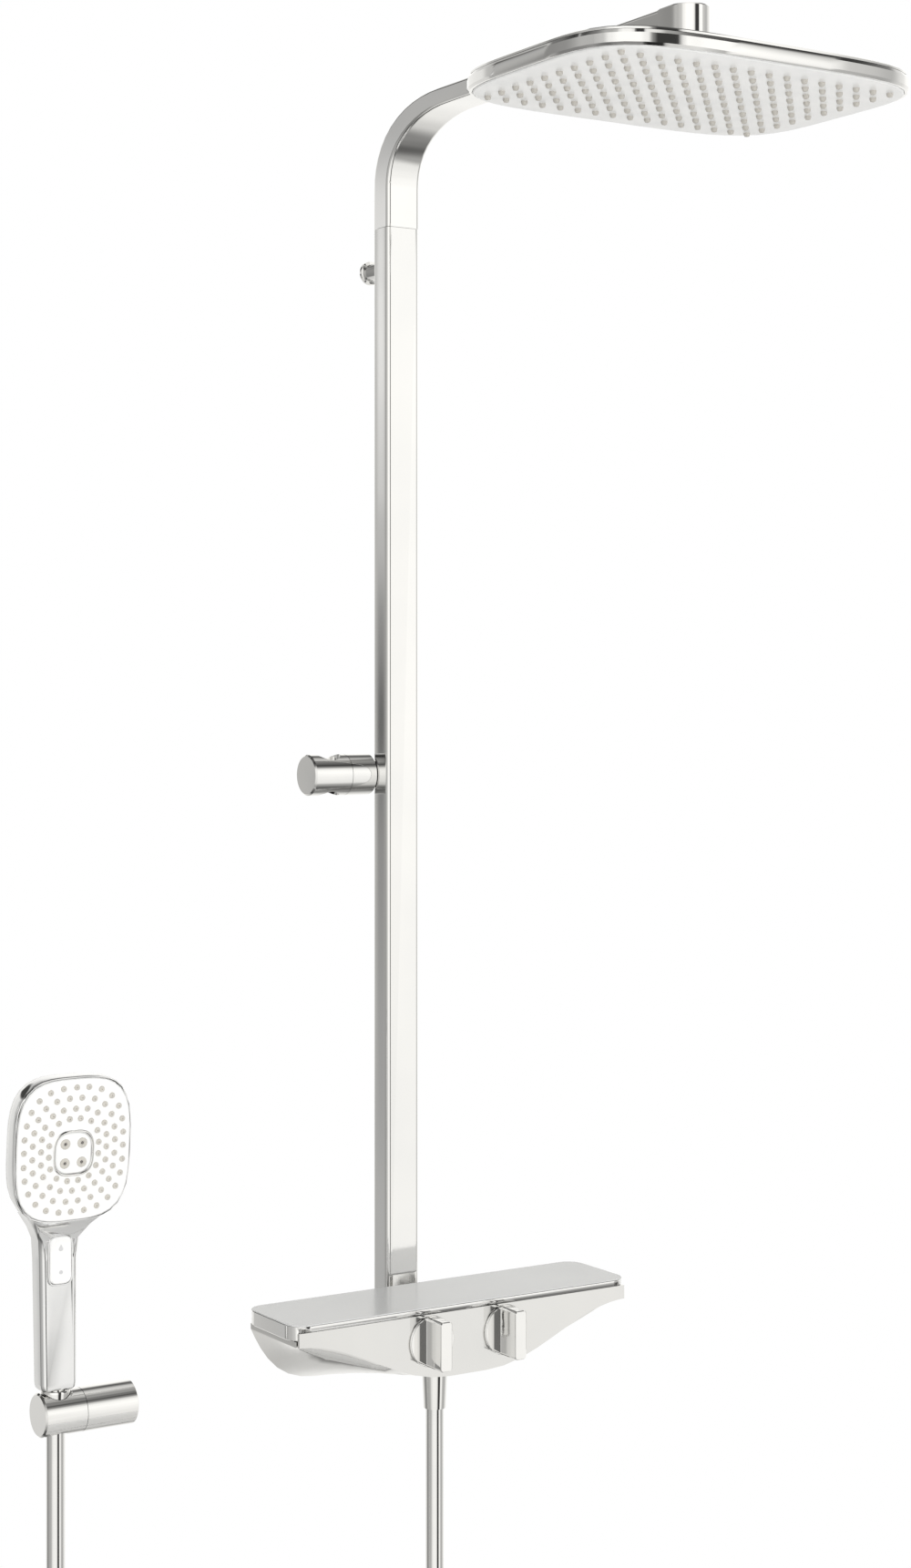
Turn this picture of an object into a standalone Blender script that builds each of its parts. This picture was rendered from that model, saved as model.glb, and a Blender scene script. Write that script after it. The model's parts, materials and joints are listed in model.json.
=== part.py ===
"""Wall-mounted rainfall shower column: riser column and arm, overhead shower, shelf mixer, hand shower and hose.

Metres, +Z up, +X to the right along the wall, +Y into the wall (the wall is the plane Y = 0).
The origin is the middle of the wall face of the column's upper wall bracket.
"""

from math import cos, pi, radians, sin

import bmesh
import bpy
from mathutils import Matrix, Vector

MM = 0.001
GAP = 0.3 * MM  # between touching pieces
RUNNING = 0.4 * MM  # round a piece that turns or slides
ROUND = 32  # sides of a large round piece
SMALL_ROUND = 20

# Riser column
COLUMN_WIDTH = 34 * MM
COLUMN_DEPTH = 26 * MM
COLUMN_FRONT_Y = -60 * MM
COLUMN_TOP = 34 * MM
COLUMN_WALL = 2 * MM
COLUMN_CORNER = 3.5 * MM
SLOT_WIDTH = 12 * MM
SLOT_ROOM_WIDTH = 24 * MM
SLOT_ROOM_DEPTH = 6 * MM
WATER_PIPE_R = 5 * MM
# Bend and arm
BEND_START = 36 * MM  # of its curved stretch, above the column
ARM_TOP = 143.7 * MM
ARM_THICK = 15.7 * MM
BEND_OUTER_RUN = 110 * MM
BEND_INNER_RUN = 100 * MM
BEND_POWER = 2.25
BOSS_DROP = 28 * MM
SOCKET_R = 12.5 * MM
# Overhead shower
HEAD_HALF_WIDTH = 158 * MM
HEAD_HALF_DEPTH = 118 * MM
HEAD_POWER = 4.5
HEAD_CENTRE_Y = -482 * MM
SPRAY_FACE = 76 * MM  # height of the spray face
RIM_HEIGHT = 15.5 * MM
RIM_WALL = 3 * MM
COVER_THICK = 2.5 * MM
SPRAY_PLATE_THICK = 3 * MM
NOZZLE_MAT_THICK = 2.5 * MM
BALL_R = 9.5 * MM
BALL_HEIGHT = 112 * MM
STEM_R = 6.5 * MM
STEM_BORE = 3 * MM
# Handset holders: a fixed barrel and a turning barrel on one sideways axis
BARREL_R = 18.7 * MM
BARREL_CLEAR = 6.3 * MM  # between a barrel and the wall
BARREL_FROM_WALL = BARREL_CLEAR + BARREL_R
TURNING_LENGTH = 38.5 * MM
FIXED_LENGTH = 26 * MM
WALL_FIXED_LENGTH = 48 * MM
HOSE_R = 8 * MM
SOCKET_TOP_R = HOSE_R + 5 * MM
SOCKET_LOW_R = HOSE_R + 3 * MM
PIN_R = 5 * MM
SLIDER_Z = -463.6 * MM
BRACKET_Z = -1003.5 * MM
BRACKET_SOCKET_X = -327 * MM
# Shelf mixer
SHELF_TOP = -922 * MM
SHELF_HALF_WIDTH = 174 * MM
SHELF_FRONT_Y = -168 * MM
SHELF_BACK_Y = -80 * MM
SHELF_CORNER = 17 * MM
RIM_SKIRT = 13 * MM
FRONT_LIP = 5.5 * MM
RIM_EDGE = 1.6 * MM
GLASS_THICK = 4 * MM
TRAY_FLOOR = 2 * MM
BODY_HALF_WIDTH = 170 * MM
BODY_LOW_FRONT = -984 * MM
BODY_LOW_BACK = -991 * MM
BODY_WALL = 3 * MM
FRONT_PLATE_THICK = 2.5 * MM
KNOB_X = 38.5 * MM
KNOB_Z = -951 * MM
KNOB_R = 22 * MM
KNOB_DISC_THICK = 3 * MM
PADDLE_WIDTH = 12 * MM
PADDLE_REACH = 25.5 * MM
SPINDLE_R = 4 * MM
CARTRIDGE_R = 12.5 * MM
INLET_X = 75 * MM
INLET_Z = -962 * MM
INLET_R = 10.5 * MM
ROSETTE_R = 17.5 * MM
ROSETTE_THICK = 8 * MM
# Hose and its nuts
OUTLET_Y = -113 * MM
LOW_NUT_TOP = -988.5 * MM
LOW_NUT_LENGTH = 38 * MM
NUT_TOP_R = HOSE_R + 3.4 * MM
NUT_END_R = HOSE_R + 1.8 * MM
NIPPLE_R = HOSE_R + 0.5 * MM
HOSE_LENGTH = 1.25
# Hand shower
HANDLE_WIDTH = 34 * MM
HANDLE_DEPTH = 24 * MM
HANDLE_BULGE = 5 * MM  # of its curved front
SHOWER_HEIGHT = 273 * MM  # from the barrel's top to the head's top
FACE_WIDTH = 107 * MM
FACE_HEIGHT = 125 * MM
FACE_FORWARD = 36 * MM  # of the face's middle, from the handle's axis
FACE_LEAN = radians(5)
FACE_POWER = 3.4
FACE_RIM = 1.7 * MM  # of the shell round the face plate
HEAD_THICK = 24 * MM
HANDLE_LEAN = 4.5 * MM  # backwards, of the handle at the button
BUTTON_WIDTH = 20 * MM
BUTTON_HEIGHT = 41 * MM
BUTTON_Z = 113 * MM  # above the barrel's top

# Worked out from the sizes above
COLUMN_Y = COLUMN_FRONT_Y + COLUMN_DEPTH / 2
COLUMN_BACK_Y = COLUMN_FRONT_Y + COLUMN_DEPTH
BARREL_Y = -BARREL_FROM_WALL
ARM_LOW = ARM_TOP - ARM_THICK
BODY_TOP = SHELF_TOP - RIM_SKIRT + 2 * MM
COLUMN_FOOT = BODY_TOP - 9 * MM
HEAD_TOP = SPRAY_FACE + RIM_HEIGHT

MATERIALS = {
    "chrome": ((0.80, 0.81, 0.82), 0.06, 1.0),
    "brass": ((0.72, 0.56, 0.30), 0.3, 1.0),
    "steel": ((0.62, 0.62, 0.62), 0.3, 1.0),
    "aluminium": ((0.75, 0.76, 0.77), 0.2, 1.0),
    "white_plastic": ((0.90, 0.90, 0.90), 0.35, 0.0),
    "dark_plastic": ((0.08, 0.08, 0.08), 0.5, 0.0),
    "silicone": ((0.60, 0.57, 0.52), 0.6, 0.0),
    "rubber": ((0.03, 0.03, 0.03), 0.7, 0.0),
    "glass": ((0.82, 0.83, 0.84), 0.08, 0.0),
    "hose": ((0.78, 0.79, 0.80), 0.15, 0.8),
}


def clear_scene():
    for obj in list(bpy.data.objects):
        bpy.data.objects.remove(obj)


def material(name):
    found = bpy.data.materials.get(name)
    if found:
        return found
    colour, roughness, metallic = MATERIALS[name]
    made = bpy.data.materials.new(name)
    made.use_nodes = True
    shader = made.node_tree.nodes["Principled BSDF"]
    shader.inputs["Base Color"].default_value = (*colour, 1)
    shader.inputs["Roughness"].default_value = roughness
    shader.inputs["Metallic"].default_value = metallic
    return made


def solid(name, bm, finish, at=(0, 0, 0), turn=None):
    """A named object from a closed bmesh, whose points are relative to at."""
    bmesh.ops.recalc_face_normals(bm, faces=bm.faces)
    mesh = bpy.data.meshes.new(name)
    bm.to_mesh(mesh)
    bm.free()
    mesh.shade_smooth()
    mesh.set_sharp_from_angle(angle=radians(32))
    mesh.materials.append(material(finish))
    obj = bpy.data.objects.new(name, mesh)
    obj.location = at
    if turn:
        obj.rotation_euler = turn
    bpy.context.scene.collection.objects.link(obj)
    return obj


def helper(obj):
    obj.hide_render = True
    obj.display_type = "WIRE"
    return obj


def boolean(obj, other, operation):
    modifier = obj.modifiers.new(operation.lower(), "BOOLEAN")
    modifier.operation = operation
    modifier.object = helper(other)


def cut(obj, *others):
    for other in others:
        boolean(obj, other, "DIFFERENCE")


def join(obj, *others):
    for other in others:
        boolean(obj, other, "UNION")


def loft(rings):
    """A closed bmesh through rings of equally many points."""
    bm = bmesh.new()
    made = [[bm.verts.new(point) for point in ring] for ring in rings]
    count = len(rings[0])
    for low, high in zip(made, made[1:]):
        for i in range(count):
            j = (i + 1) % count
            bm.faces.new((low[i], low[j], high[j], high[i]))
    bm.faces.new(made[0][::-1])
    bm.faces.new(made[-1])
    return bm


def tube(outer, inner):
    """A closed bmesh between two stacks of rings, open through the middle."""
    bm = bmesh.new()
    shells = [[[bm.verts.new(point) for point in ring] for ring in rings] for rings in (outer, inner)]
    loop = shells[0] + shells[1][::-1]
    count = len(outer[0])
    for low, high in zip(loop, loop[1:] + loop[:1]):
        for i in range(count):
            j = (i + 1) % count
            bm.faces.new((low[i], low[j], high[j], high[i]))
    return bm


def turned(profile, sides):
    """A closed bmesh from a closed outline of (radius, height) points, turned about Z."""
    bm = bmesh.new()
    rings = []
    for r, z in profile:
        if r < 1e-7:
            rings.append([bm.verts.new((0, 0, z))])
        else:
            rings.append([bm.verts.new((r * cos(2 * pi * i / sides), r * sin(2 * pi * i / sides), z)) for i in range(sides)])
    for low, high in zip(rings, rings[1:] + rings[:1]):
        if len(low) == 1 and len(high) == 1:
            continue
        for i in range(sides):
            j = (i + 1) % sides
            corners = [low[i % len(low)], low[j % len(low)], high[j % len(high)], high[i % len(high)]]
            bm.faces.new(list(dict.fromkeys(corners)))
    return bm


def rod(r, low, high, bevel=0.0):
    """The outline of a plain cylinder, with both its edges bevelled."""
    if not bevel:
        return [(0, low), (r, low), (r, high), (0, high)]
    return [(0, low), (r - bevel, low), (r, low + bevel), (r, high - bevel), (r - bevel, high), (0, high)]


def pipe(r, bore, low, high):
    return [(bore, low), (r, low), (r, high), (bore, high)]


def rounded(width, depth, corner, steps=4):
    """The (x, y) points of a rounded rectangle about its centre."""
    points = []
    for quarter, (sx, sy) in enumerate(((1, 1), (-1, 1), (-1, -1), (1, -1))):
        for step in range(steps + 1):
            angle = pi / 2 * (quarter + step / steps)
            x = sx * (width / 2 - corner) + corner * cos(angle)
            y = sy * (depth / 2 - corner) + corner * sin(angle)
            points.append((x, y))
    return points


def squircle(half_width, half_height, power, count):
    points = []
    for i in range(count):
        c, s = cos(2 * pi * i / count), sin(2 * pi * i / count)
        reach = (abs(c) ** power + abs(s) ** power) ** (-1 / power)
        points.append((half_width * reach * c, half_height * reach * s))
    return points


def level(outline, z, centre=(0, 0)):
    return [(x + centre[0], y + centre[1], z) for x, y in outline]


def slab(outline, low, high, centre=(0, 0)):
    return loft([level(outline, low, centre), level(outline, high, centre)])


def block(size, centre=(0, 0, 0)):
    bm = bmesh.new()
    bmesh.ops.create_cube(bm, size=1, matrix=Matrix.Translation(centre) @ Matrix.Diagonal((*size, 1)))
    return bm


ALONG_X = (0, pi / 2, 0)  # a turned piece's +Z points to +X
TO_VIEWER = (pi / 2, 0, 0)  # a turned piece's +Z points to -Y


# ---------------------------------------------------------------- column


def riser_column():
    """Extruded profile with a front chamber for the water pipe and a T-slot in its back."""
    w, d, t = COLUMN_WIDTH / 2, COLUMN_DEPTH / 2, COLUMN_WALL
    height = COLUMN_TOP - COLUMN_FOOT
    at = (0, COLUMN_Y, COLUMN_FOOT)
    column = solid("riser_column", slab(rounded(2 * w, 2 * d, COLUMN_CORNER), 0, height), "chrome", at)
    room_y = d - t - SLOT_ROOM_DEPTH / 2
    over = 5 * MM
    chamber_depth = 2 * d - 3 * t - SLOT_ROOM_DEPTH
    chamber = rounded(2 * w - 2 * t, chamber_depth, COLUMN_CORNER - t)
    chamber_cut = solid("chamber_cut", slab(chamber, -over, height + over, (0, -d + t + chamber_depth / 2)), "steel", at)
    room = block((SLOT_ROOM_WIDTH, SLOT_ROOM_DEPTH, height + 2 * over), (0, room_y, height / 2))
    mouth = block((SLOT_WIDTH, 3 * t, height + 2 * over), (0, d - t / 2, height / 2))
    cut(column, chamber_cut, solid("slot_room_cut", room, "steel", at), solid("slot_mouth_cut", mouth, "steel", at))


def inner_water_pipe():
    y = COLUMN_FRONT_Y + COLUMN_WALL + WATER_PIPE_R + GAP
    low, high = COLUMN_FOOT + GAP, COLUMN_TOP - GAP
    solid("inner_water_pipe", turned(pipe(WATER_PIPE_R, WATER_PIPE_R - 1 * MM, low, high), 16), "brass", (0, y, 0))


def bend_curve(run, rise, corner_y, steps):
    """A quarter of a superellipse, from straight up to straight out towards the viewer."""
    points = []
    for i in range(steps + 1):
        c, s = cos(pi / 2 * i / steps), sin(pi / 2 * i / steps)
        reach = (abs(c) ** BEND_POWER + abs(s) ** BEND_POWER) ** (-1 / BEND_POWER)
        points.append((corner_y - run + run * reach * c, COLUMN_TOP + BEND_START + rise * reach * s))
    return points


def bend_and_arm():
    """Cast bend and flat arm: sections between an outer and an inner curve, then a round end with a boss below it."""
    start = COLUMN_TOP + BEND_START
    outer = bend_curve(BEND_OUTER_RUN, ARM_TOP - start, COLUMN_BACK_Y, 12)
    inner = bend_curve(BEND_INNER_RUN, ARM_LOW - start, COLUMN_FRONT_Y, 12)
    sides = [((COLUMN_BACK_Y, COLUMN_TOP + GAP), (COLUMN_FRONT_Y, COLUMN_TOP + GAP))] + list(zip(outer, inner))
    arm_end = HEAD_CENTRE_Y + 12 * MM
    sides.append(((arm_end, ARM_TOP), (arm_end, ARM_LOW)))
    rings = []
    for (out_y, out_z), (in_y, in_z) in sides:
        across = Vector((0, out_y - in_y, out_z - in_z))
        thick = across.length
        middle = Vector((0, (out_y + in_y) / 2, (out_z + in_z) / 2))
        across.normalize()
        rings.append([middle + Vector((x, 0, 0)) + across * v for x, v in rounded(COLUMN_WIDTH, thick, COLUMN_CORNER)])
    arm = solid("bend_and_arm", loft(rings), "chrome")
    low = ARM_LOW - BOSS_DROP
    top = ARM_TOP + 0.04 * MM

    def boss_outline(inset):
        r = COLUMN_WIDTH / 2 + 0.04 * MM - inset
        half_round = [(r * cos(pi + pi * i / 20), r * sin(pi + pi * i / 20)) for i in range(21)]
        return [*half_round, (r, COLUMN_WIDTH / 2 - inset), (-r, COLUMN_WIDTH / 2 - inset)]

    edge = 1.2 * MM
    steps = ((edge, low), (0, low + edge), (0, top - edge), (edge, top))
    boss = loft([level(boss_outline(inset), z, (0, HEAD_CENTRE_Y)) for inset, z in steps])
    join(arm, solid("arm_boss", boss, "chrome"))
    socket = turned(rod(SOCKET_R, low - 5 * MM, BALL_HEIGHT + BALL_R + 2 * MM), 28)
    water = turned(rod(4 * MM, BALL_HEIGHT, ARM_LOW + ARM_THICK / 2), 12)
    cut(arm, solid("ball_socket_cut", socket, "steel", (0, HEAD_CENTRE_Y, 0)))
    cut(arm, solid("arm_water_cut", water, "steel", (0, HEAD_CENTRE_Y, 0)))


def column_keys():
    """Two keys in the top of the front chamber that line the bend up on the column."""
    width = COLUMN_WIDTH - 2 * COLUMN_WALL - 2 * GAP
    r = WATER_PIPE_R + GAP
    y = COLUMN_FRONT_Y + COLUMN_WALL + r
    side = (width - (2 * r + 2.4 * MM)) / 2 - GAP
    x = r + GAP + side / 2
    for name, sign in (("column_key_left", -1), ("column_key_right", 1)):
        key = slab(rounded(side, 2 * r - 2 * GAP, 1 * MM), COLUMN_TOP - 40 * MM, COLUMN_TOP - GAP, (sign * x, y))
        solid(name, key, "steel")


def upper_wall_bracket():
    """Round wall flange, post and a head that clamps in the column's slot, with its grub screw."""
    reach = -COLUMN_BACK_Y
    shoe_t = SLOT_ROOM_DEPTH - 2 * GAP
    low = [(0, 0), (11 * MM, 0), (11 * MM, 2.5 * MM), (8 * MM, 3 * MM), (8 * MM, reach - GAP), (0, reach - GAP)]
    bracket = solid("upper_wall_bracket", turned(low, ROUND), "chrome", (0, 0, 0), TO_VIEWER)
    neck = block((SLOT_WIDTH - 2 * GAP, COLUMN_WALL + 4 * MM, 18 * MM), (0, COLUMN_BACK_Y - 0.5 * MM, 0))
    head_y = COLUMN_BACK_Y - COLUMN_WALL - GAP - shoe_t / 2
    shoe = block((SLOT_ROOM_WIDTH - 4 * GAP, shoe_t, 18 * MM), (0, head_y, 0))
    join(bracket, solid("bracket_neck", neck, "chrome"), solid("bracket_shoe", shoe, "chrome"))
    screw_at = (0, -reach / 2, 0)
    hole = turned(rod(1.6 * MM + GAP, -20 * MM, 3 * MM), 12)
    cut(bracket, solid("bracket_screw_cut", hole, "steel", screw_at))
    solid("bracket_screw", turned(rod(1.6 * MM, -7.5 * MM, 2.5 * MM, 0.4 * MM), 12), "steel", screw_at)


# ---------------------------------------------------------------- handset holders


def turning_barrel(name, socket_x, seam_x, z):
    """Turning half: it holds the hand shower's cone in a socket that goes right through."""
    left = seam_x - TURNING_LENGTH
    edge = 1.5 * MM
    pivot = (seam_x, BARREL_Y, z)
    outline = [(0, -TURNING_LENGTH), (BARREL_R - edge, -TURNING_LENGTH), (BARREL_R, -TURNING_LENGTH + edge)]
    outline += [(BARREL_R, -RUNNING / 2), (PIN_R + RUNNING, -RUNNING / 2), (PIN_R + RUNNING, -7 * MM), (0, -7 * MM)]
    barrel = solid(name, turned(outline, 40), "chrome", pivot, ALONG_X)
    cone = [(0, -25 * MM), (SOCKET_LOW_R, -25 * MM), (SOCKET_LOW_R, -BARREL_R), (SOCKET_TOP_R, BARREL_R), (SOCKET_TOP_R, 25 * MM), (0, 25 * MM)]
    cut(barrel, solid(name + "_cone_cut", turned(cone, ROUND), "steel", (socket_x, BARREL_Y, z)))
    return left


def fixed_barrel(name, seam_x, length, z, extras):
    """Fixed half with the pin that the turning half turns on."""
    edge = 1 * MM
    outline = [(0, -6 * MM), (PIN_R, -6 * MM), (PIN_R, RUNNING / 2), (BARREL_R, RUNNING / 2)]
    outline += [(BARREL_R, length - edge), (BARREL_R - edge, length), (0, length)]
    barrel = solid(name, turned(outline, 40), "chrome", (seam_x, BARREL_Y, z), ALONG_X)
    join(barrel, *extras)


def slider():
    """Slider on the column: its shoe runs in the T-slot and its barrel stands at the column's left side."""
    end_x = -COLUMN_WIDTH / 2 - RUNNING
    seam_x = end_x - FIXED_LENGTH
    back_low, back_high = COLUMN_BACK_Y + RUNNING, BARREL_Y + BARREL_R - 3 * MM
    depth = back_high - back_low
    plate = rounded(SLOT_WIDTH / 2 - end_x + 4 * MM, depth, 2 * MM)
    centre = ((SLOT_WIDTH / 2 + end_x - 4 * MM) / 2, (back_low + back_high) / 2)
    neck_low = COLUMN_BACK_Y - COLUMN_WALL - RUNNING
    neck = block((SLOT_WIDTH - 2 * RUNNING, back_low - neck_low + 2 * MM, 24 * MM), (0, (back_low + neck_low) / 2 + 1 * MM, 0))
    extras = [
        solid("slider_plate", slab(plate, -12 * MM, 12 * MM, centre), "chrome", (0, 0, SLIDER_Z)),
        solid("slider_neck", neck, "chrome", (0, 0, SLIDER_Z)),
    ]
    fixed_barrel("slider_carriage", seam_x, FIXED_LENGTH, SLIDER_Z, extras)
    shoe_t = SLOT_ROOM_DEPTH - 2 * RUNNING
    shoe_y = neck_low - GAP - shoe_t / 2
    shoe = block((SLOT_ROOM_WIDTH - 2 * RUNNING, shoe_t - GAP, 34 * MM), (0, shoe_y, 0))
    solid("slider_shoe", shoe, "dark_plastic", (0, 0, SLIDER_Z))
    turning_barrel("slider_holder", seam_x - TURNING_LENGTH * 0.45, seam_x, SLIDER_Z)


def wall_bracket():
    """Holder at the lower left: post and flange on the wall, fixed barrel, turning barrel."""
    seam_x = BRACKET_SOCKET_X + TURNING_LENGTH * 0.57
    post_x = seam_x + WALL_FIXED_LENGTH * 0.55
    at = (post_x, 0, BRACKET_Z)
    fixed_barrel("bracket_fixed_barrel", seam_x, WALL_FIXED_LENGTH, BRACKET_Z, [])
    carrier = bpy.data.objects["bracket_fixed_barrel"]
    post_room = turned(rod(10.5 * MM + GAP, -5 * MM, BARREL_FROM_WALL + 4 * MM + GAP), ROUND)
    cut(carrier, solid("post_room_cut", post_room, "steel", at, TO_VIEWER))
    post = [(0, 0), (12.5 * MM, 0), (12.5 * MM, 4 * MM), (10.5 * MM, 4.5 * MM), (10.5 * MM, BARREL_FROM_WALL + 4 * MM), (0, BARREL_FROM_WALL + 4 * MM)]
    wall_post = solid("bracket_wall_post", turned(post, ROUND), "chrome", at, TO_VIEWER)
    bore = turned([(0, -5 * MM), (2.6 * MM, -5 * MM), (2.6 * MM, 18 * MM), (5 * MM, 18 * MM), (5 * MM, 50 * MM), (0, 50 * MM)], 16)
    cut(wall_post, solid("post_screw_cut", bore, "steel", at, TO_VIEWER))
    screw = [(0, 0.2 * MM), (2.2 * MM, 0.2 * MM), (2.2 * MM, 18.3 * MM), (4.5 * MM, 18.3 * MM), (4.5 * MM, 21 * MM), (0, 21.5 * MM)]
    solid("bracket_wall_screw", turned(screw, 12), "steel", at, TO_VIEWER)
    turning_barrel("bracket_holder", BRACKET_SOCKET_X, seam_x, BRACKET_Z)


# ---------------------------------------------------------------- overhead shower


def head_outline(inset, count=72):
    return squircle(HEAD_HALF_WIDTH - inset, HEAD_HALF_DEPTH - inset, HEAD_POWER, count)


def overhead_shower():
    """Cover, rim, spray plate, nozzle mat and water chamber, hung on a ball stem."""
    at = (0, HEAD_CENTRE_Y, BALL_HEIGHT)
    drop = -BALL_HEIGHT

    def rings(*steps):
        return [level(head_outline(inset), z + drop) for inset, z in steps]

    low = SPRAY_FACE + 1 * MM
    outer = rings((1.2 * MM, low), (0, low + 2 * MM), (0, low + 9 * MM), (1.4 * MM, HEAD_TOP - COVER_THICK - GAP))
    inner = rings((RIM_WALL, low), (RIM_WALL, HEAD_TOP - COVER_THICK - GAP))
    solid("head_rim", tube(outer, inner), "chrome", at)
    cover_low = HEAD_TOP - COVER_THICK
    cover = solid("head_cover", loft(rings((1.5 * MM, cover_low), (1.5 * MM, HEAD_TOP - 1 * MM), (3 * MM, HEAD_TOP))), "chrome", at)
    collar = turned(rod(15 * MM, cover_low - BALL_HEIGHT, HEAD_TOP + 3.5 * MM - BALL_HEIGHT, 1 * MM), ROUND)
    join(cover, solid("cover_collar", collar, "chrome", at))
    hole = turned(rod(STEM_R + GAP, -0.1, 0), 24)
    cut(cover, solid("cover_stem_cut", hole, "steel", at))
    plate_high = SPRAY_FACE + SPRAY_PLATE_THICK
    plate_inset = RIM_WALL + GAP
    plate = rings((plate_inset + 0.8 * MM, SPRAY_FACE), (plate_inset, SPRAY_FACE + 0.8 * MM), (plate_inset, plate_high))
    solid("head_spray_plate", loft(plate), "white_plastic", at)
    mat_low, mat_high = plate_high + GAP, plate_high + GAP + NOZZLE_MAT_THICK
    solid("head_nozzle_mat", loft(rings((plate_inset + 2 * MM, mat_low), (plate_inset + 2 * MM, mat_high))), "silicone", at)
    chamber_low, chamber_high = mat_high + GAP, cover_low - GAP
    chamber = rings((plate_inset + 1 * MM, chamber_low), (plate_inset + 1 * MM, chamber_high))
    water = solid("head_water_chamber", loft(chamber), "dark_plastic", at)
    room = rings((plate_inset + 6 * MM, chamber_low - 1 * MM), (plate_inset + 6 * MM, chamber_low + 2.5 * MM))
    cut(water, solid("chamber_room_cut", loft(room), "steel", at), solid("chamber_inlet_cut", turned(rod(STEM_R + GAP, -0.1, 0), 24), "steel", at))
    low = chamber_low + 3 * MM + drop
    arc = [(BALL_R * sin(a), -BALL_R * cos(a)) for a in (radians(42 + 119 * i / 8) for i in range(9))]
    stem = [(STEM_BORE, low), (STEM_R, low), (STEM_R, -BALL_R * cos(radians(42)) - 1 * MM)]
    bore_top = [(STEM_BORE, BALL_R * cos(radians(19)) + 0.1 * MM)]
    solid("head_ball_stem", turned(stem + arc + bore_top, 24), "chrome", at)
    solid("head_flow_regulator", turned(rod(STEM_BORE - 0.7 * MM, -1.2 * MM, 1.2 * MM), 12), "dark_plastic", at)


def ball_joint_rings():
    """Seat ring above the ball, and the nut below it that is screwed into the arm's boss."""
    at = (0, HEAD_CENTRE_Y, BALL_HEIGHT)
    seat = [(6 * MM, 8.3 * MM), (9.2 * MM, 4.6 * MM), (SOCKET_R - RUNNING, 4.6 * MM), (SOCKET_R - RUNNING, 8.3 * MM)]
    solid("ball_seat_ring", turned(seat, 24), "dark_plastic", at)
    low = ARM_LOW - BOSS_DROP - 2 * MM - BALL_HEIGHT
    nut = [(11.3 * MM, low), (SOCKET_R + 1.5 * MM, low), (SOCKET_R + 1.5 * MM, low + 1.7 * MM), (SOCKET_R - GAP, low + 1.7 * MM)]
    nut += [(SOCKET_R - GAP, 3 * MM), (BALL_R + RUNNING, 3 * MM), (BALL_R + RUNNING, -1.5 * MM), (9.3 * MM, -4 * MM)]
    solid("ball_nut", turned(nut, 28), "chrome", at)


# ---------------------------------------------------------------- mixer


def shelf_outline(inset):
    depth = SHELF_BACK_Y - SHELF_FRONT_Y
    return rounded(2 * SHELF_HALF_WIDTH - 2 * inset, depth - 2 * inset, SHELF_CORNER - inset, 6)


def shelf():
    centre_y = (SHELF_FRONT_Y + SHELF_BACK_Y) / 2
    at = (0, centre_y, SHELF_TOP)
    edge = 0.8 * MM
    rings = [level(shelf_outline(i), z) for i, z in ((edge, -RIM_SKIRT), (0, -RIM_SKIRT + edge), (0, -edge), (edge, 0))]
    rim = solid("shelf_rim", loft(rings), "chrome", at)
    recess = slab(shelf_outline(RIM_EDGE), -GLASS_THICK - GAP, 5 * MM)
    under = slab(shelf_outline(RIM_EDGE + 1.4 * MM), -RIM_SKIRT - 5 * MM, -GLASS_THICK - GAP - TRAY_FLOOR)
    front = block((2 * BODY_HALF_WIDTH, 8 * MM, 20 * MM), (0, SHELF_FRONT_Y - centre_y, -FRONT_LIP - 10 * MM))
    cut(rim, solid("glass_recess_cut", recess, "steel", at), solid("rim_under_cut", under, "steel", at))
    cut(rim, solid("rim_front_cut", front, "steel", at))
    inset = RIM_EDGE + GAP
    glass = [level(shelf_outline(inset + i), z) for i, z in ((0, -GLASS_THICK), (0, -0.5 * MM), (0.5 * MM, 0.2 * MM))]
    solid("shelf_glass", loft(glass), "glass", at)


def hull_low(x, share):
    """Height of the body's underside: a hanging bow at the front (share 0), a full round-ended tub at the back (1)."""
    u = min(abs(x) / BODY_HALF_WIDTH, 1)
    shallow = BODY_TOP - 7 * MM
    front = shallow + (BODY_LOW_FRONT - shallow) * (0.5 + 0.5 * cos(pi * max(u - 0.12, 0) / 0.88))
    end = max(u - 0.4, 0) / 0.6
    back = shallow + (BODY_LOW_BACK - shallow) * (1 - end**4.5)
    return front + (back - front) * share**0.7


def hull_rings(inset, wall, front_y, back_y, top):
    columns, stations = 28, 6
    half = BODY_HALF_WIDTH - inset
    rings = []
    for station in range(stations + 1):
        share = station / stations
        y = front_y + (back_y - front_y) * share
        xs = [half * sin(pi / 2 * (2 * i / columns - 1)) for i in range(columns + 1)]
        low = [(x, y, hull_low(x, share) + wall) for x in xs]
        rings.append(low + [(half, y, top), (0, y, top), (-half, y, top)])
    return rings


def mixer_shell():
    """Chrome casing under the shelf: hollow, open at its back for the water connections."""
    front_y = SHELF_FRONT_Y + FRONT_PLATE_THICK + GAP + 1 * MM
    back_y = SHELF_BACK_Y - RIM_EDGE - 2 * MM
    top = BODY_TOP - 2 * MM - GAP
    shell = solid("mixer_shell", loft(hull_rings(0, 0, front_y, back_y, top)), "chrome")
    room = hull_rings(26 * MM, BODY_WALL, front_y + BODY_WALL, back_y + 12 * MM, top - BODY_WALL)
    cut(shell, solid("shell_room_cut", loft(room), "steel"))
    for x in (-KNOB_X, KNOB_X):
        bore = turned(rod(CARTRIDGE_R + 1 * MM, 0, 0.02), 24)
        cut(shell, solid("cartridge_way_cut", bore, "steel", (x, front_y + BODY_WALL + 5 * MM, KNOB_Z), TO_VIEWER))
    way = turned(rod(NUT_TOP_R + 0.6 * MM, -0.1, 0), 24)
    cut(shell, solid("outlet_way_cut", way, "steel", (0, OUTLET_Y, KNOB_Z)))


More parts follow.
